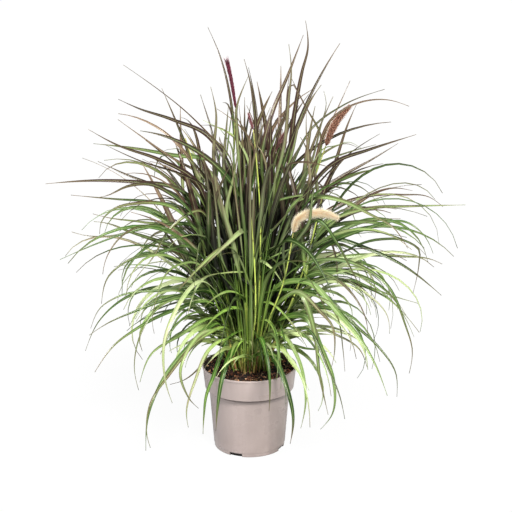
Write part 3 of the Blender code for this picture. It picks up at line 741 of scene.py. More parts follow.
culmLeaves = {
    "leaf_top_left_thin": (210, "culm_crimson_flower", 470, 6, 0.70,
        ((45, 610), (90, 660), (145, 715), (205, 765), (265, 810))),
    "leaf_top_left_broad": (138, "culm_crimson_flower", 430, 11, 0.85,
        ((50, 570), (105, 625), (205, 645), (310, 655), (365, 665))),
    "leaf_top_left_line": (123, "culm_crimson_flower", 560, 6, 0.60,
        ((55, 645), (70, 715), (105, 785), (150, 835))),
    "leaf_top_left_upright": (192, "culm_crimson_flower", 380, 11, 0.75,
        ((65, 540), (70, 615), (65, 695), (75, 745))),
    "leaf_left_upright": (166, "culm_leafy_left", 400, 10, 0.50,
        ((85, 490), (105, 550), (125, 610), (145, 660), (175, 730))),
    "leaf_left_broad": (201, "culm_leafy_left", 310, 13, 0.70,
        ((75, 460), (115, 570), (185, 615), (265, 650), (320, 685))),
    "leaf_left_longest": (183, "culm_leafy_left", 440, 10, 0.60,
        ((110, 520), (150, 545), (210, 555), (290, 560), (395, 555))),
    "leaf_tallest": (12, "culm_pink_flower", 420, 13, 0.80,
        ((75, 560), (90, 685), (105, 770), (115, 810), (110, 865))),
    "leaf_top_right_broad": (59, "culm_pink_flower", 500, 11, 0.85,
        ((50, 605), (85, 670), (150, 740), (210, 810))),
    "leaf_top_right_arch": (346, "culm_brown_flower", 420, 9, 0.75,
        ((130, 595), (165, 690), (210, 720), (270, 730), (310, 720))),
    "leaf_top_right_line": (36, "culm_brown_flower", 390, 6, 0.45,
        ((100, 560), (155, 640), (230, 675), (340, 695))),
    "leaf_right_broad_brown": (333, "culm_brown_flower", 350, 13, 0.95,
        ((110, 520), (185, 615), (250, 645), (345, 685))),
    "leaf_right_broad_pink": (26, "culm_brown_flower", 440, 10, 0.80,
        ((165, 520), (205, 540), (280, 570), (335, 595))),
    "leaf_right_longest": (356, "culm_leafy_right", 372, 9, 0.30,
        ((150, 470), (240, 505), (315, 510), (420, 515))),
    "leaf_right_hook": (341, "culm_leafy_right", 326, 11, 0.15,
        ((150, 430), (235, 480), (320, 500), (350, 480), (370, 445))),
    "leaf_front_right_pale": (300, "culm_cream_flower", 380, 11, 0.15,
        ((140, 470), (220, 470), (280, 435), (310, 410))),
    "leaf_front_left_cross": (237, "culm_leafy_front", 340, 11, 0.25,
        ((75, 440), (115, 440), (170, 425), (250, 395))),
    "leaf_front_high": (285, "culm_leafy_front", 420, 10, 0.60,
        ((82, 500), (115, 580), (170, 630), (235, 630))),
    "leaf_back_right_high": (72, "culm_pink_flower", 380, 10, 0.70,
        ((75, 520), (130, 610), (200, 640), (290, 610))),
    "leaf_back_high": (100, "culm_pink_flower", 300, 10, 0.70,
        ((80, 500), (150, 610), (240, 650), (330, 640))),
}
leafFeet = {"height": 169.7, "buried": 5, "culmReach": 4.7}
leafTurns = {       # degrees that a leaf turns its face aside by
    "leaf_front_reach": 62, "leaf_front_left_reach": 60, "leaf_front_right_reach": 55, "leaf_front_high": 35,
}
leafForm = {
    "seed": 5, "step": 7, "columns": 7,
    "twist": 0.35, "ripple": 0.12, "ripples": (6, 11),      # radians, and radians of the ripples' sine
    "chance": (0.15, 0.72),                                 # place among the greens and browns
    "heartShare": 0.6, "heartUntil": (0.1, 0.35),           # how much of the heart's shade, and how far up
}


# Route of a leaf from its foot through its points, which lie in the plane of its azimuth
def leafRoute(azimuth, foot, points):
    places = np.vstack([foot, [polar(azimuth, radius, height) for radius, height in points]])
    length = np.linalg.norm(np.diff(places, axis=0), axis=1).sum()
    return smoothRoute(places * mm, int(length / leafForm["step"]) + 2)


# the twist grows with the square of the length, and a slow sine ripples on it
def addLeaf(name, azimuth, foot, width, tone, points, rng):
    route = leafRoute(azimuth, foot, points)[None]
    share = np.linspace(0, 1, route.shape[1])[None]
    turn = math.radians(leafTurns.get(name, 0)) + frontRoll(route, azimuth, bladeForm["faceFront"])
    roll = turn * np.minimum(share / bladeForm["widensUntil"], 1)
    roll = roll + rng.normal(0, leafForm["twist"]) * share**2
    roll = roll + leafForm["ripple"] * np.sin(share * rng.uniform(*leafForm["ripples"]) + rng.uniform(0, 6))
    # painted shade on the leaf's lower part where it lies in the heart
    heart = paintedHeartShade(route) * leafForm["heartShare"] * (1 - smoothStep(*leafForm["heartUntil"], share))
    marks = bladeMarks(tone, rng.uniform(*leafForm["chance"]), rng.uniform(0, 1), share, heart)
    mesh = bladeMesh(name + "_blade", route, [width * mm], [azimuth], roll, share, marks, leafForm["columns"])
    addPiece(name + "_blade", mesh, bladeMaterial, (name,))


leafRng = np.random.default_rng(leafForm["seed"])
for name, (azimuth, footRadius, width, tone, points) in crownLeaves.items():
    azimuth = math.radians(azimuth)
    foot = polar(azimuth, footRadius, leafFeet["height"] - leafFeet["buried"])
    addLeaf(name, azimuth, foot, width, tone, points, leafRng)
for name, (azimuth, culm, height, width, tone, points) in culmLeaves.items():
    azimuth = math.radians(azimuth)
    route = culmRoutes[culm] / mm
    foot = np.array([np.interp(height, route[:, 2], route[:, k]) for k in range(3)])
    addLeaf(name, azimuth, foot + polar(azimuth, leafFeet["culmReach"], 0), width, tone, points, leafRng)
print("single leaves made")


# The leaves behind and between them that can still be told apart: azimuth, width, tone and
# points on the midrib as above, and for one the degrees that it turns its face by. Each
# rises from the crown inside its first point.
otherLeaves = (
    (159, 6, 0.70, ((105, 560), (160, 585), (230, 625), (280, 655))),
    (145, 10, 0.30, ((85, 580), (185, 580), (290, 580), (395, 575))),
    (216, 11, 0.95, ((105, 560), (155, 590), (245, 630), (325, 675))),
    (169, 8, 0.60, ((145, 515), (200, 540), (245, 555), (305, 580))),
    (220, 10, 0.45, ((195, 565), (240, 590), (290, 595), (340, 585), (355, 585))),
    (207, 9, 0.40, ((180, 530), (240, 540), (285, 535), (310, 515), (315, 490))),
    (191, 9, 0.30, ((140, 425), (185, 445), (235, 465), (280, 485), (305, 490))),
    (171, 6, 0.30, ((160, 465), (215, 450), (280, 430), (340, 430), (360, 435))),
    (223, 6, 0.40, ((250, 515), (300, 515), (325, 505), (360, 465), (365, 445))),
    (211, 8, 0.25, ((145, 445), (205, 440), (270, 435), (310, 410), (325, 360))),
    (195, 8, 0.20, ((100, 340), (180, 345), (265, 340), (300, 320), (320, 280))),
    (228, 5, 0.30, ((170, 360), (265, 355), (305, 315), (320, 260), (310, 210))),
    (216, 8, 0.15, ((85, 290), (170, 270), (235, 245), (260, 195))),
    (235, 5, 0.20, ((195, 440), (270, 435), (300, 390), (310, 360), (305, 330))),
    (241, 9, 0.20, ((205, 405), (270, 380), (320, 325), (320, 255), (295, 195))),
    (241, 8, 0.20, ((135, 290), (210, 295), (265, 250), (240, 190), (200, 150))),
    (202, 5, 0.50, ((50, 245), (80, 225), (100, 190), (140, 160), (170, 155))),
    (317, 10, 0.05, ((80, 235), (110, 210), (145, 180), (160, 160))),
    (307, 6, 0.30, ((195, 300), (250, 240), (285, 195), (300, 155))),
    (340, 6, 0.20, ((190, 375), (245, 350), (285, 310), (290, 275))),
    (11, 5, 0.20, ((205, 340), (250, 320), (295, 300), (350, 280))),
    (317, 6, 0.50, ((195, 410), (270, 380), (300, 340), (305, 310))),
    (299, 8, 0.45, ((200, 385), (270, 370), (320, 350), (325, 310), (315, 275))),
    (333, 6, 0.40, ((150, 340), (185, 315), (205, 240), (210, 195))),
    (346, 6, 0.35, ((105, 275), (170, 255), (225, 225), (240, 190))),
    (3, 6, 0.10, ((70, 215), (115, 205), (150, 200), (165, 195))),
    (37, 9, 0.75, ((245, 445), (315, 475), (370, 480), (430, 465))),
    (333, 9, 0.20, ((115, 535), (200, 540), (260, 520), (300, 505), (335, 465))),
    (15, 8, 0.25, ((185, 435), (255, 435), (310, 415), (350, 395), (370, 375))),
    (7, 9, 0.25, ((150, 385), (215, 395), (305, 390), (370, 380), (390, 370))),
    (350, 6, 0.30, ((260, 450), (305, 450), (335, 430), (335, 410), (325, 345))),
    (351, 9, 0.20, ((170, 445), (230, 430), (300, 400), (380, 340))),
    (321, 9, 0.20, ((180, 505), (215, 470), (245, 430), (275, 385))),
    (49, 6, 0.60, ((205, 545), (225, 590), (280, 660), (315, 705))),
    (40, 10, 0.70, ((220, 540), (235, 575), (260, 630), (285, 670))),
    (49, 10, 0.15, ((235, 490), (320, 500), (415, 500))),
    (12, 6, 0.30, ((120, 575), (190, 600), (255, 615))),
    (55, 6, 0.40, ((245, 550), (290, 560), (350, 560), (415, 535))),
    (117, 6, 0.60, ((150, 585), (175, 630), (195, 655), (220, 685))),
    (165, 8, 0.55, ((-15, 620), (-10, 695), (0, 760), (10, 795))),
    (71, 11, 0.60, ((30, 640), (70, 670), (140, 705))),
    (297, 8, 0.80, ((150, 680), (160, 745), (170, 810), (160, 850))),
    (63, 8, 0.60, ((170, 580), (230, 625), (285, 665), (330, 685))),
    (348, 6, 0.50, ((125, 605), (140, 670), (150, 720), (145, 740))),
    (198, 8, 0.10, ((-10, 300), (30, 340), (80, 395))),
    (236, 8, 0.30, ((75, 250), (145, 245), (185, 200), (215, 145), (210, 110))),
    (223, 9, 0.15, ((105, 330), (200, 335), (290, 320), (345, 300), (390, 260))),
    (326, 10, 0.20, ((90, 340), (160, 355), (245, 305), (300, 270), (335, 230), (340, 180))),
    (331, 8, 0.25, ((100, 390), (205, 425), (300, 390), (340, 315), (355, 270), (350, 220))),
    (340, 5, 0.70, ((50, 640), (75, 700), (85, 755), (115, 710), (150, 650))),
    (200, 7, 0.45, ((25, 660), (25, 705), (10, 745), (0, 765))),
    (150, 7, 0.90, ((5, 620), (10, 655), (10, 685), (10, 720))),
    (340, 6, 0.90, ((15, 620), (10, 670), (-5, 705))),
    (170, 6, 0.40, ((10, 595), (15, 655), (20, 705))),
    (190, 9, 0.50, ((45, 540), (50, 590), (45, 655), (40, 710))),
    (165, 5, 0.80, ((0, 640), (15, 660), (40, 680), (65, 695))),
    (205, 9, 0.90, ((0, 615), (5, 645), (15, 665), (35, 700))),
    (175, 6, 0.10, ((10, 615), (30, 645), (60, 660), (90, 675))),
    (195, 6, 0.20, ((30, 580), (35, 625), (60, 665))),
    (15, 6, 0.70, ((50, 610), (60, 650), (75, 685), (75, 715), (80, 760))),
    (5, 5, 0.40, ((140, 615), (140, 640), (110, 700), (90, 740), (80, 760))),
    (345, 6, 0.50, ((90, 635), (95, 660), (110, 705), (140, 750))),
    (335, 9, 0.95, ((130, 560), (125, 620), (120, 675), (120, 705))),
    (340, 6, 0.15, ((135, 610), (155, 635), (175, 640), (200, 650), (225, 640))),
    (330, 8, 0.05, ((155, 555), (195, 580), (230, 600), (275, 615))),
    (312, 8, 1.00, ((100, 575), (110, 605), (145, 620), (185, 625), (225, 625))),
    (330, 8, 0.35, ((55, 525), (60, 575), (70, 610), (85, 645))),
    (210, 8, 0.30, ((50, 515), (40, 550), (30, 590), (25, 625))),
    (345, 9, 0.30, ((70, 450), (95, 515), (120, 565), (135, 590))),
    (335, 8, 0.90, ((40, 565), (35, 595), (20, 625), (0, 635))),
    (223, 9, 0.10, ((55, 243), (77, 213), (98, 172), (116, 139), (123, 98), (126, 58))),
    (314, 8, 0.05, ((129, 459), (153, 488), (164, 507), (168, 531), (172, 562), (190, 600)), 20),
    (272, 8, 0.80, ((58, 400), (70, 500), (74, 560), (72, 620), (66, 680))),
    (322, 10, 0.25, ((22, 414), (32, 435), (64, 471), (100, 512), (130, 545), (161, 576))),
    (318, 13, 0.05, ((34, 384), (44, 403), (67, 428), (106, 461), (143, 488), (175, 512))),
    (325, 7, 0.10, ((31, 374), (50, 394), (80, 414), (120, 436), (147, 447))),
    (335, 6, 0.30, ((27, 500), (40, 511), (89, 533), (158, 545), (212, 538), (249, 524))),
    (240, 12, 0.30, ((48, 403), (66, 452), (92, 509), (110, 553), (121, 589))),
    (235, 7, 0.40, ((98, 439), (101, 460), (107, 511), (119, 573), (128, 604))),
    (280, 11, 0.60, ((31, 399), (31, 444), (42, 498), (54, 551), (76, 593))),
    (250, 9, 0.20, ((19, 430), (35, 486), (46, 539), (51, 590), (51, 619))),
    (245, 5, 0.70, ((38, 445), (51, 500), (64, 553), (77, 605), (85, 636))),
    (238, 5, 0.20, ((5, 366), (42, 380), (88, 391), (134, 400), (175, 403))),
    (245, 4, 0.30, ((2, 390), (43, 414), (87, 433), (131, 441))),
    (305, 7, 0.15, ((40, 402), (64, 400), (90, 391), (117, 371))),
    (308, 5, 0.10, ((59, 415), (78, 413), (97, 398), (109, 374))),
    (240, 7, 0.00, ((14, 249), (53, 257), (87, 255), (118, 246))),
    (232, 9, 0.00, ((17, 290), (43, 305), (74, 309), (111, 303), (145, 286))),
    (245, 8, 0.05, ((16, 315), (52, 339), (97, 357), (149, 363), (200, 358))),
    (256, 6, 0.00, ((20, 222), (52, 242), (91, 245), (122, 236))),
    (318, 8, 0.05, ((34, 318), (60, 341), (91, 348), (125, 339), (153, 317))),
    (244, 11, 0.20, ((15, 459), (41, 462), (84, 456), (143, 446), (192, 435))),
    (318, 13, 0.15, ((39, 416), (75, 438), (108, 461), (136, 479), (163, 492))),
    (316, 11, 0.10, ((40, 396), (67, 415), (94, 430), (130, 452), (166, 470))),
    (315, 9, 0.05, ((35, 329), (63, 344), (90, 353), (139, 360), (191, 362), (238, 356))),
    (310, 6, 0.30, ((39, 314), (66, 321), (102, 310), (141, 288), (173, 260))),
    (240, 9, 0.05, ((6, 295), (37, 329), (75, 365), (119, 402), (148, 426))),
    (315, 9, 0.10, ((35, 397), (57, 423), (95, 449), (132, 467), (169, 483))),
    (312, 8, 0.15, ((37, 369), (66, 393), (103, 412), (140, 425), (173, 428))),
    (300, 8, 0.00, ((22, 264), (46, 280), (73, 288), (100, 276), (114, 251), (118, 226), (124, 198))),
)
otherForm = {
    "seed": 9, "rings": 50, "columns": 5,
    "footShare": 0.16, "leastFoot": 8,              # radius of the foot, as a share of the first point's
    "sheathShare": 0.42, "leastSheath": 12, "sheathRise": 0.62,
    "bareShare": 0.4,       # how far towards the first point the narrow sheath reaches
    "sheathShade": 0.5, "shadeUntil": 0.15,         # how much of the heart's shade it lies in, and how far up
    "rolledBy": 0.3, "twist": 0.4, "chance": (0.1, 0.9),
}


# The blade opens only past its sheath: what is grown is counted from the sheath's end
def otherLeafMesh(name, rows, form):
    rng = np.random.default_rng(form["seed"])
    count = len(rows)
    foot = leafFeet["height"] - leafFeet["buried"]
    routes, sheathed, turns = [], [], []
    for azimuth, _, _, points, *turn in rows:
        radius, height = points[0]
        start = (max(radius * form["footShare"], form["leastFoot"]), foot)
        sheathTop = foot + (height - foot) * form["sheathRise"]
        sheath = (max(radius * form["sheathShare"], form["leastSheath"]), sheathTop)
        places = np.array([polar(math.radians(azimuth), *point) for point in (start, sheath, *points)])
        spans = np.linalg.norm(np.diff(places, axis=0), axis=1)
        sheathed.append((spans[0] + form["bareShare"] * spans[1]) / spans.sum())
        routes.append(smoothRoute(places * mm, form["rings"]))
        turns.append(math.radians(turn[0]) if turn else 0.0)
    routes, sheathed = np.array(routes), np.array(sheathed)[:, None]
    azimuths, widths, tones = (np.array([row[k] for row in rows], float) for k in range(3))
    azimuths = np.radians(azimuths)
    share = np.linspace(0, 1, form["rings"])[None]
    grown = np.clip((share - sheathed) / (1 - sheathed), 0, 1)
    turned = np.array(turns) + frontRoll(routes, azimuths, bladeForm["faceFront"])
    roll = turned[:, None] * np.minimum(share / form["rolledBy"], 1)
    roll = roll + rng.normal(0, form["twist"], (count, 1)) * share
    # painted shade on the sheath where it lies in the heart
    heart = paintedHeartShade(routes) * form["sheathShade"] * (1 - smoothStep(0, form["shadeUntil"], grown))
    marks = bladeMarks(tones, rng.uniform(*form["chance"], count), rng.uniform(0, 1, count), grown, heart)
    return bladeMesh(name, routes, widths * mm, azimuths, roll, grown, marks, form["columns"])


otherMesh = otherLeafMesh("leaves_between", otherLeaves, otherForm)
addPiece("leaves_between", otherMesh, bladeMaterial)
print("leaves between made")


# Tillers: the crowded shoots that carry the rest of the leaves

tillerForm = {
    "routeSeed": 31, "stemSeed": 32, "count": 84, "crownRadius": 42, "footHeight": 164,
    "step": 137.5, "stepSpread": 0.2,       # degrees from one to the next, and its scatter in radians
    "height": (110, 390), "middleTaller": 1.15, "edgeShorter": 0.35,
    "lean": 17, "leanSpread": 5,            # degrees outwards at the crown's edge, and its scatter
    "leanAtFoot": 0.6, "leanGrows": 0.8, "drift": 0.2,
    "radius": (0.9, 2.1), "taper": 0.45,
    "rings": 26, "sides": 8,
}


# Feet on a sunflower's spiral: the radius grows as the square root of the number, and the
# azimuth by one step each time. The stems lean outwards with the radius and bend.
def tillerRoutes(form):
    rng = np.random.default_rng(form["routeSeed"])
    count = form["count"]
    share = np.sqrt((np.arange(count) + 0.5) / count)
    azimuths = np.arange(count) * math.radians(form["step"]) + rng.normal(0, form["stepSpread"], count)
    starts = polar(azimuths, share * form["crownRadius"], form["footHeight"])
    lean = np.radians(share * form["lean"] + rng.normal(0, form["leanSpread"], count))
    heights = rng.uniform(*form["height"], count) * (form["middleTaller"] - form["edgeShorter"] * share)
    rise, bend = np.pi / 2 - lean * form["leanAtFoot"], lean * form["leanGrows"]
    drift = rng.normal(0, form["drift"], count)
    routes = bentRoutes(starts, azimuths, heights, rise, bend, np.ones(count), drift, form["rings"])
    return routes * mm, azimuths, heights * mm


# each stem's radius falls evenly from its own at the foot
def tillerMesh(name, routes, form):
    rng = np.random.default_rng(form["stemSeed"])
    share = np.linspace(0, 1, form["rings"])[None]
    radii = rng.uniform(*form["radius"], (len(routes), 1)) * mm * (1 - form["taper"] * share)
    chance = rng.uniform(0, 1, len(routes))[:, None, None]
    marks = {"rise": share[..., None], "chance": chance, "joint": 0.0}
    return roundMesh(name, routes, radii, form["sides"], marks)


tillerLook = {
    "stops": ((0.0, "#9A7450"), (0.09, "#C6A878"), (0.2, "#B4AA5E"), (0.36, "#7A943E"), (1.0, "#465E2A")),
    "joint": "#4E3B22", "grain": 1.1,
}
tillers, tillerAzimuths, tillerHeights = tillerRoutes(tillerForm)
tillerMaterial = makeStemMaterial("tillerSheath", tillerLook)
addPiece("tiller_stems", tillerMesh("tiller_stems", tillers, tillerForm), tillerMaterial)
print("tillers made")


# Leaves on the tillers, in groups that fill the clump from the rim of the pot to its top.
# Each has its seed and count, the height above the tiller's foot that they leave it at,
# their length, the elevation that they set out at and the angle that they bend through in
# degrees, the bend's power, their width, their tone from green to purple, the scatter of
# their azimuth in degrees, and their place among the greens and browns.
groupColumns = (
    "seed", "count", "from", "length", "rise", "bend", "power", "width", "tone", "scatter", "bright")
leafGroups = {
    # the heart's own leaves take the darkest greens: painted shade in the crowded middle
    "leaves_heart": (49, 70, (5, 160), (220, 340), (78, 90), (0, 30), (1.0, 2.0),
                     (7, 13), (0.1, 0.6), 180, (-0.1, 0.3)),
    "leaves_shoots": (48, 16, (0, 10), (35, 75), (35, 75), (20, 60), (0.8, 1.4),
                      (3, 5), (0.0, 0.02), 70, (1.2, 1.5)),
    "leaves_fresh": (50, 44, (50, 190), (110, 230), (25, 70), (70, 140), (1.0, 1.8),
                     (7, 13), (0.0, 0.03), 60, (0.6, 1.2)),
    "leaves_basal": (46, 60, (4, 60), (110, 240), (40, 78), (50, 120), (0.8, 1.4),
                     (6, 12), (0.0, 0.05), 60, (0.7, 1.2)),
    "leaves_low": (41, 100, (25, 150), (210, 390), (38, 68), (100, 170), (1.2, 2.2),
                   (6, 12), (0.0, 0.12), 50, (0.4, 1.1)),
    "leaves_middle": (42, 106, (90, 270), (280, 490), (30, 72), (75, 160), (1.2, 2.4),
                      (6, 12), (0.0, 0.4), 50, (0.1, 1.0)),
    "leaves_high": (43, 68, (200, 380), (200, 380), (60, 88), (15, 90), (0.9, 1.8),
                    (7, 13), (0.45, 1.0), 60, (0.1, 1.0)),
    "leaves_upright": (44, 98, (110, 400), (180, 350), (72, 90), (5, 45), (1.0, 2.0),
                       (8, 14), (0.5, 1.0), 90, (0.1, 1.0)),
    "leaves_curled": (47, 60, (230, 390), (110, 280), (15, 85), (50, 150), (0.6, 1.5),
                      (3, 7), (0.6, 1.0), 110, (0.0, 0.7)),
    "leaves_thin": (45, 60, (60, 300), (260, 460), (45, 82), (60, 160), (0.8, 1.6),
                    (2.5, 5), (0.1, 0.7), 50, (0.1, 0.9)),
}
fillForm = {
    "rings": 15,
    "reach": 395, "top": 850,               # the clump's own reach, kept by every leaf
    "highest": 0.96,                        # share of the tiller's height above which none sets out
    "leftShorter": 0.22,                    # leaves that lean left are shorter by this share
    "potClearance": 101, "potTop": (205, 175), "lowest": 12,
    "roll": 45, "rolledBy": 0.3,            # degrees that a side leaf rolls to the front, and by where
    "drift": 0.25, "twist": 0.5, "rollSpread": 0.3,
    "purpleTone": 0.4,                      # a group whose tone starts above it is purple
    "open": (                               # boxes that stay open
        ((-25, -400, 270), (30, -22, 610)),     # before the bright stems
        ((80, -400, 478), (185, -85, 552)),     # before the ripe spike
        ((30, -400, 430), (110, -75, 600)),     # before the dark hollow beside them
        ((26, -400, 300), (95, -45, 490)),      # before the dark heart at the right
        ((-66, -400, 290), (-25, -60, 420)),    # before it at the left
        ((90, 110, 535), (150, 260, 640)),      # behind the upper blades at the right
        ((-75, -400, 0), (48, -92, 120)),       # before the pot
        ((-45, -400, 100), (24, -55, 186)),     # over the bare soil at the front
        ((-97, -125, 172), (-34, -20, 220)),    # over it at the left
        ((64, -120, 172), (97, -20, 208)),      # over it at the right
    ),
}


# Leaves set out from points on the tillers, towards the tiller's azimuth with some
# scatter, and bend as they grow; their length falls by the cosine to the left. One that
# would pass the clump's reach or top is drawn in towards its foot, one that falls past the
# pot is kept outside its rim, and one that would cross an open box is left out. Their
# purple is held to the upper heights.
def fillLeafMesh(name, group, form):
    rng = np.random.default_rng(group["seed"])
    count = group["count"]
    tiller = rng.integers(0, len(tillers), count)
    height = np.minimum(rng.uniform(*group["from"], count) * mm, tillerHeights[tiller] * form["highest"])
    place = height / tillerHeights[tiller] * (tillerForm["rings"] - 1)
    low = place.astype(int)
    starts = tillers[tiller, low] + (tillers[tiller, low + 1] - tillers[tiller, low]) * (place - low)[:, None]
    azimuths = tillerAzimuths[tiller] + np.radians(rng.normal(0, group["scatter"], count))
    lengths = rng.uniform(*group["length"], count) * mm
    lengths = lengths * (1 - form["leftShorter"] * np.maximum(0, -np.cos(azimuths)))
    rise, bend = (np.radians(rng.uniform(*group[key], count)) for key in ("rise", "bend"))
    power = rng.uniform(*group["power"], count)
    drift = rng.normal(0, form["drift"], count)
    routes = bentRoutes(starts, azimuths, lengths, rise, bend, power, drift, form["rings"])
    reach = np.linalg.norm(routes[..., :2], axis=-1).max(axis=1)
    climb = routes[..., 2].max(axis=1) - starts[:, 2]
    inward = np.minimum(1, form["reach"] * mm / reach)
    down = np.minimum(1, (form["top"] * mm - starts[:, 2]) / np.maximum(climb, 1e-6))
    routes = starts[:, None] + (routes - starts[:, None]) * np.stack([inward, inward, down], axis=-1)[:, None]
    past = np.arange(form["rings"])[None] > np.argmax(routes[..., 2], axis=1)[:, None]
    radius = np.linalg.norm(routes[..., :2], axis=-1)
    wanted = form["potClearance"] * mm * smoothStep(*form["potTop"], routes[..., 2] / mm)
    push = np.where(past, np.maximum(wanted / np.maximum(radius, 1e-6), 1), 1)
    routes[..., :2] *= push[..., None]
    routes[..., 2] = np.maximum(routes[..., 2], form["lowest"] * mm)
    crossing = np.zeros(count, bool)
    for lowest, highest in form["open"]:
        within = (routes > np.array(lowest) * mm) & (routes < np.array(highest) * mm)
        crossing |= within.all(axis=-1).any(axis=1)
    routes, azimuths = routes[~crossing], azimuths[~crossing]
    count = len(routes)
    share = np.linspace(0, 1, form["rings"])[None]
    roll = frontRoll(routes, azimuths, form["roll"])[:, None] * np.minimum(share / form["rolledBy"], 1)
    roll = roll + rng.normal(0, form["twist"], (count, 1)) * share
    roll = roll + rng.normal(0, form["rollSpread"], (count, 1))
    # the heart's mark paints shade into the crowded middle
    marks = bladeMarks(rng.uniform(*group["tone"], count), rng.uniform(*group["bright"], count),
                       rng.uniform(0, 1, count) ** 2, share, paintedHeartShade(routes))
    marks["purple"] = marks["purple"] * smoothStep(*bladeForm["brownFrom"], routes[..., 2] / mm)
    widths = rng.uniform(*group["width"], count) * mm
    return bladeMesh(name, routes, widths, azimuths, roll, share, marks)


for name, row in leafGroups.items():
    group = dict(zip(groupColumns, row))
    addPiece(name, fillLeafMesh(name, group, fillForm), bladeMaterial)
    print(name, "made")


# Flower spikes: a core on the culm's tip, thick with bristles that point to its end. Each
# has its culm, route, radius to the bristles' tips at its foot, middle and end, and look.
spikes = {
    "spike_crimson": {
        "seed": 91, "culm": "culm_crimson_flower", "points": ((-34, 14, 750), (-42, 13, 788)),
        "radii": (2.4, 3.6, 4.8),
        "bristles": 1800, "slant": 20, "core": 0.8, "thickness": 0.2, "reach": (0.9, 0.97, 1.05),
        "colours": ((0.0, "#6A2C40"), (0.5, "#843C54"), (1.0, "#B0707E"))},
    "spike_brown": {
        "seed": 77, "culm": "culm_brown_flower", "points": ((160, 24, 649), (177, 28, 678), (193, 30, 695)),
        "radii": (5, 8, 4),
        "bristles": 4200, "slant": 32, "core": 0.42, "thickness": 0.2, "reach": (0.6, 0.9, 1.2),
        "colours": ((0.0, "#6C3C2E"), (0.5, "#A8725C"), (1.0, "#DCBCA6"))},
    "spike_pink": {
        "seed": 70, "culm": "culm_pink_flower", "points": ((57, 25, 624), (73, 25, 650)),
        "radii": (3.6, 4.8, 2.5),
        "bristles": 1500, "slant": 28, "core": 0.42, "thickness": 0.16, "reach": (0.7, 0.95, 1.15),
        "colours": ((0.0, "#6A4042"), (0.5, "#A07472"), (1.0, "#CCA8A2"))},
    "spike_young": {
        "seed": 77, "culm": "culm_young_flower", "points": ((3, -9, 676), (-1, -8, 690)),
        "radii": (2.6, 3.2, 1.6),
        "bristles": 500, "slant": 16, "core": 0.55, "thickness": 0.16, "reach": (0.85, 0.95, 1.05),
        "colours": ((0.0, "#74444C"), (0.5, "#A87078"), (1.0, "#CCA0A0"))},
    "spike_cream": {
        "seed": 77, "culm": "culm_cream_flower",
        "points": ((94, -102, 507), (114, -104, 518), (140, -106, 520), (168, -108, 511)),
        "radii": (6, 10.5, 5), "bristles": 7500, "slant": 52, "core": 0.3, "thickness": 0.17,
        "reach": (0.5, 0.8, 1.3), "colours": ((0.0, "#FADEB0"), (0.35, "#FFF1D4"), (1.0, "#FFFCF2"))},
}
spikeForm = {
    "rings": 60, "sides": 12, "footGap": 0.6,
    "footRound": 0.05, "endRound": 0.08, "bluntest": 0.02,      # shares of the length and of the radius
    "rootDepth": 0.8, "slantSpread": (0.75, 1.2),               # shares of the core's radius and of the slant
    "steps": 4, "curve": 1.25, "wobble": 0.12,
    "thickSpread": (0.8, 1.3), "thinning": (1, 0.85, 0.6, 0.2),
    "coreShade": 0.3,
}


# A spike's radius swells as a sine from its foot to its middle and falls to its end. The
# bristles start on the core, lean out by the slant, and curve a little towards the end;
# reach gives the least, usual and most of the radius that they come to.
def spikeMeshes(name, spike, form):
    rng = np.random.default_rng(spike["seed"])
    before, tip = culmRoutes[spike["culm"]][-2:] / mm
    foot = tip + unit(tip - before) * form["footGap"]
    route = smoothRoute(np.vstack([foot, spike["points"]]) * mm, form["rings"])
    share = np.linspace(0, 1, form["rings"])
    footRadius, middleRadius, tipRadius = spike["radii"]
    ends = np.where(share < 0.5, footRadius, tipRadius)
    radii = (ends + (middleRadius - ends) * np.sin(np.pi * share)) * mm
    rounding = np.minimum(share / form["footRound"], (1 - share) / form["endRound"])
    core = radii * spike["core"] * np.sqrt(np.clip(rounding, form["bluntest"], 1))
    marks = {"reach": 0.0, "chance": form["coreShade"]}
    coreMesh = roundMesh(name + "_core", route[None], core[None], form["sides"], marks)
    count = spike["bristles"]
    place = rng.uniform(0, 1, count) * (form["rings"] - 1.01)
    low = place.astype(int)
    part = (place - low)[:, None]
    middle = route[low] * (1 - part) + route[low + 1] * part
    along = unit(np.gradient(route, axis=0))[low]
    first, second = squareTo(along)
    turn = rng.uniform(0, 2 * np.pi, count)[:, None]
    out = first * np.cos(turn) + second * np.sin(turn)
    slant = np.radians(spike["slant"] * rng.uniform(*form["slantSpread"], count))[:, None]
    fullRadius = radii[low] * rng.triangular(*spike["reach"], count)
    rootRadius = core[low] * form["rootDepth"]
    length = (fullRadius - rootRadius)[:, None] / np.sin(slant)
    steps = np.linspace(0, 1, form["steps"])
    bristles = (middle[:, None] + out[:, None] * rootRadius[:, None, None]
                + out[:, None] * (np.sin(slant) * length)[..., None] * steps[:, None]
                + along[:, None] * (np.cos(slant) * length)[..., None] * steps[:, None] ** form["curve"])
    wobble = rng.normal(0, form["wobble"], (count, 1, 3)) * length[..., None] * steps[:, None] ** 2
    thick = spike["thickness"] * mm * rng.uniform(*form["thickSpread"], (count, 1)) * form["thinning"]
    marks = {"reach": steps[None, :, None], "chance": rng.uniform(0, 1, count)[:, None, None]}
    bristleMesh = roundMesh(name + "_bristles", bristles + wobble, thick, 3, marks)
    return coreMesh, bristleMesh


# Dry grass bristle: fine, straight and slightly glossy, darker at its root and paler at
# its tip, so that the spike looks soft at its edge
def makeBristleMaterial(name, colours):
    material, add, reach, chance = newMaterial(name, "reach", "chance")
    spread = add("Math", {"operation": "MULTIPLY_ADD", 0: chance, 1: 0.4, 2: -0.2})
    place = add("Math", {"operation": "ADD", 0: reach, 1: spread})
    body = add("ValToRGB", {0: place, "stops": colours})
    shader = add("BsdfPrincipled", {"Base Color": body, "Roughness": 0.55})
    thin = add("BsdfTranslucent", {"Color": body})
    both = add("MixShader", {0: 0.4, 1: shader, 2: thin})
    add("OutputMaterial", {"Surface": both})
    return material


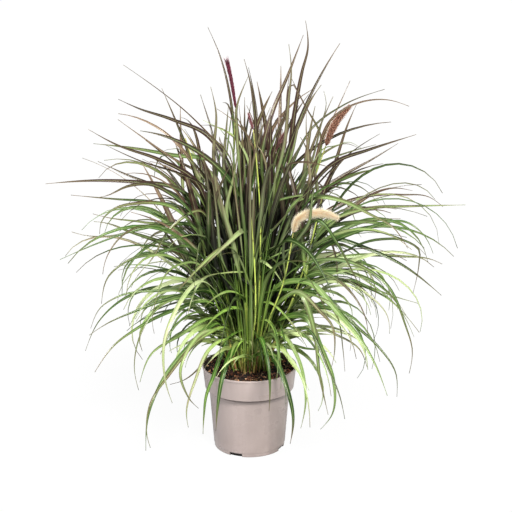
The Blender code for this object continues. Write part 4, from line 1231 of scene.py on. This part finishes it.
for name, spike in spikes.items():
    material = makeBristleMaterial(name + "Bristle", spike["colours"])
    coreMesh, bristleMesh = spikeMeshes(name, spike, spikeForm)
    addPiece(name + "_core", coreMesh, material, (name,))
    addPiece(name + "_bristles", bristleMesh, material, (name,))
print("flower spikes made")


# Floor, light and camera

studio = {
    "floorSize": 60, "floorDrop": 0.2, "floorColour": "#C8C8C8", "floorGlow": 1.0, "glowShare": 0.96,
    "world": 0.28, "background": 1.0, "white": "#FFFFFF", "gamma": 0.88,
    "key": {"strength": 6.7, "softness": 14, "elevation": 50, "azimuth": 288, "colour": "#FFFCF6"},
    "side": {"strength": 1.85, "softness": 25, "elevation": 40, "azimuth": 210, "colour": "#F6F8FF"},
    "camera": (13.2, -3204.2, 1406.8), "pitch": 72.59, "lens": 119.53, "sensor": 36,
}


# The floor is pale paper that lights the leaves from below. The camera sees mostly its even
# glow, just white, so that thin leaf tips aren't lost in a floor brighter than white.
def addFloor(size):
    corners = np.array([(-1, -1, 0), (1, -1, 0), (1, 1, 0), (-1, 1, 0)]) * size / 2
    mesh = bpy.data.meshes.new("floor")
    mesh.from_pydata(corners.tolist(), [], [(0, 1, 2, 3)])
    floor = bpy.data.objects.new("floor", mesh)
    floor.location.z = -studio["floorDrop"] * mm
    bpy.context.scene.collection.objects.link(floor)
    material, add = newMaterial("palePaper")
    paper = add("BsdfDiffuse", {"Color": studio["floorColour"]})
    glow = add("Emission", {"Color": studio["white"], "Strength": studio["floorGlow"]})
    direct = add("LightPath", {}, "Is Camera Ray")
    seen = add("Math", {"operation": "MULTIPLY", 0: direct, 1: studio["glowShare"]})
    both = add("MixShader", {0: seen, 1: paper, 2: glow})
    add("OutputMaterial", {"Surface": both})
    mesh.materials.append(material)


# a sun that shines from an azimuth and an elevation; its softness is its own angle
def addSun(name, light):
    data = bpy.data.lights.new(name, "SUN")
    data.energy = light["strength"]
    data.angle = math.radians(light["softness"])
    data.color = hexColour(light["colour"])[:3]
    sun = bpy.data.objects.new(name, data)
    azimuth = math.radians(light["azimuth"])
    sun.rotation_euler = (0, math.radians(90 - light["elevation"]), azimuth)
    bpy.context.scene.collection.objects.link(sun)


# the world lights the plant from all sides, and shows as a white background
def addWorld():
    world = bpy.data.worlds.new("studio")
    world.use_nodes = True
    world.node_tree.nodes.clear()
    add = partial(addNode, world.node_tree)
    light, seen = (add("Background", {"Color": studio["white"], "Strength": studio[key]})
                   for key in ("world", "background"))
    direct = add("LightPath", {}, "Is Camera Ray")
    both = add("MixShader", {0: direct, 1: light, 2: seen})
    add("OutputWorld", {"Surface": both})
    bpy.context.scene.world = world


addFloor(studio["floorSize"])
addSun("key", studio["key"])
addSun("side", studio["side"])
addWorld()
bpy.context.scene.view_settings.view_transform = "Standard"
bpy.context.scene.view_settings.gamma = studio["gamma"]
camera = bpy.data.objects.new("camera", bpy.data.cameras.new("camera"))
camera.location = np.array(studio["camera"]) * mm
camera.rotation_euler = (math.radians(studio["pitch"]), 0, 0)
camera.data.lens = studio["lens"]
camera.data.sensor_width = studio["sensor"]
bpy.context.scene.collection.objects.link(camera)
bpy.context.scene.camera = camera
print("studio made")
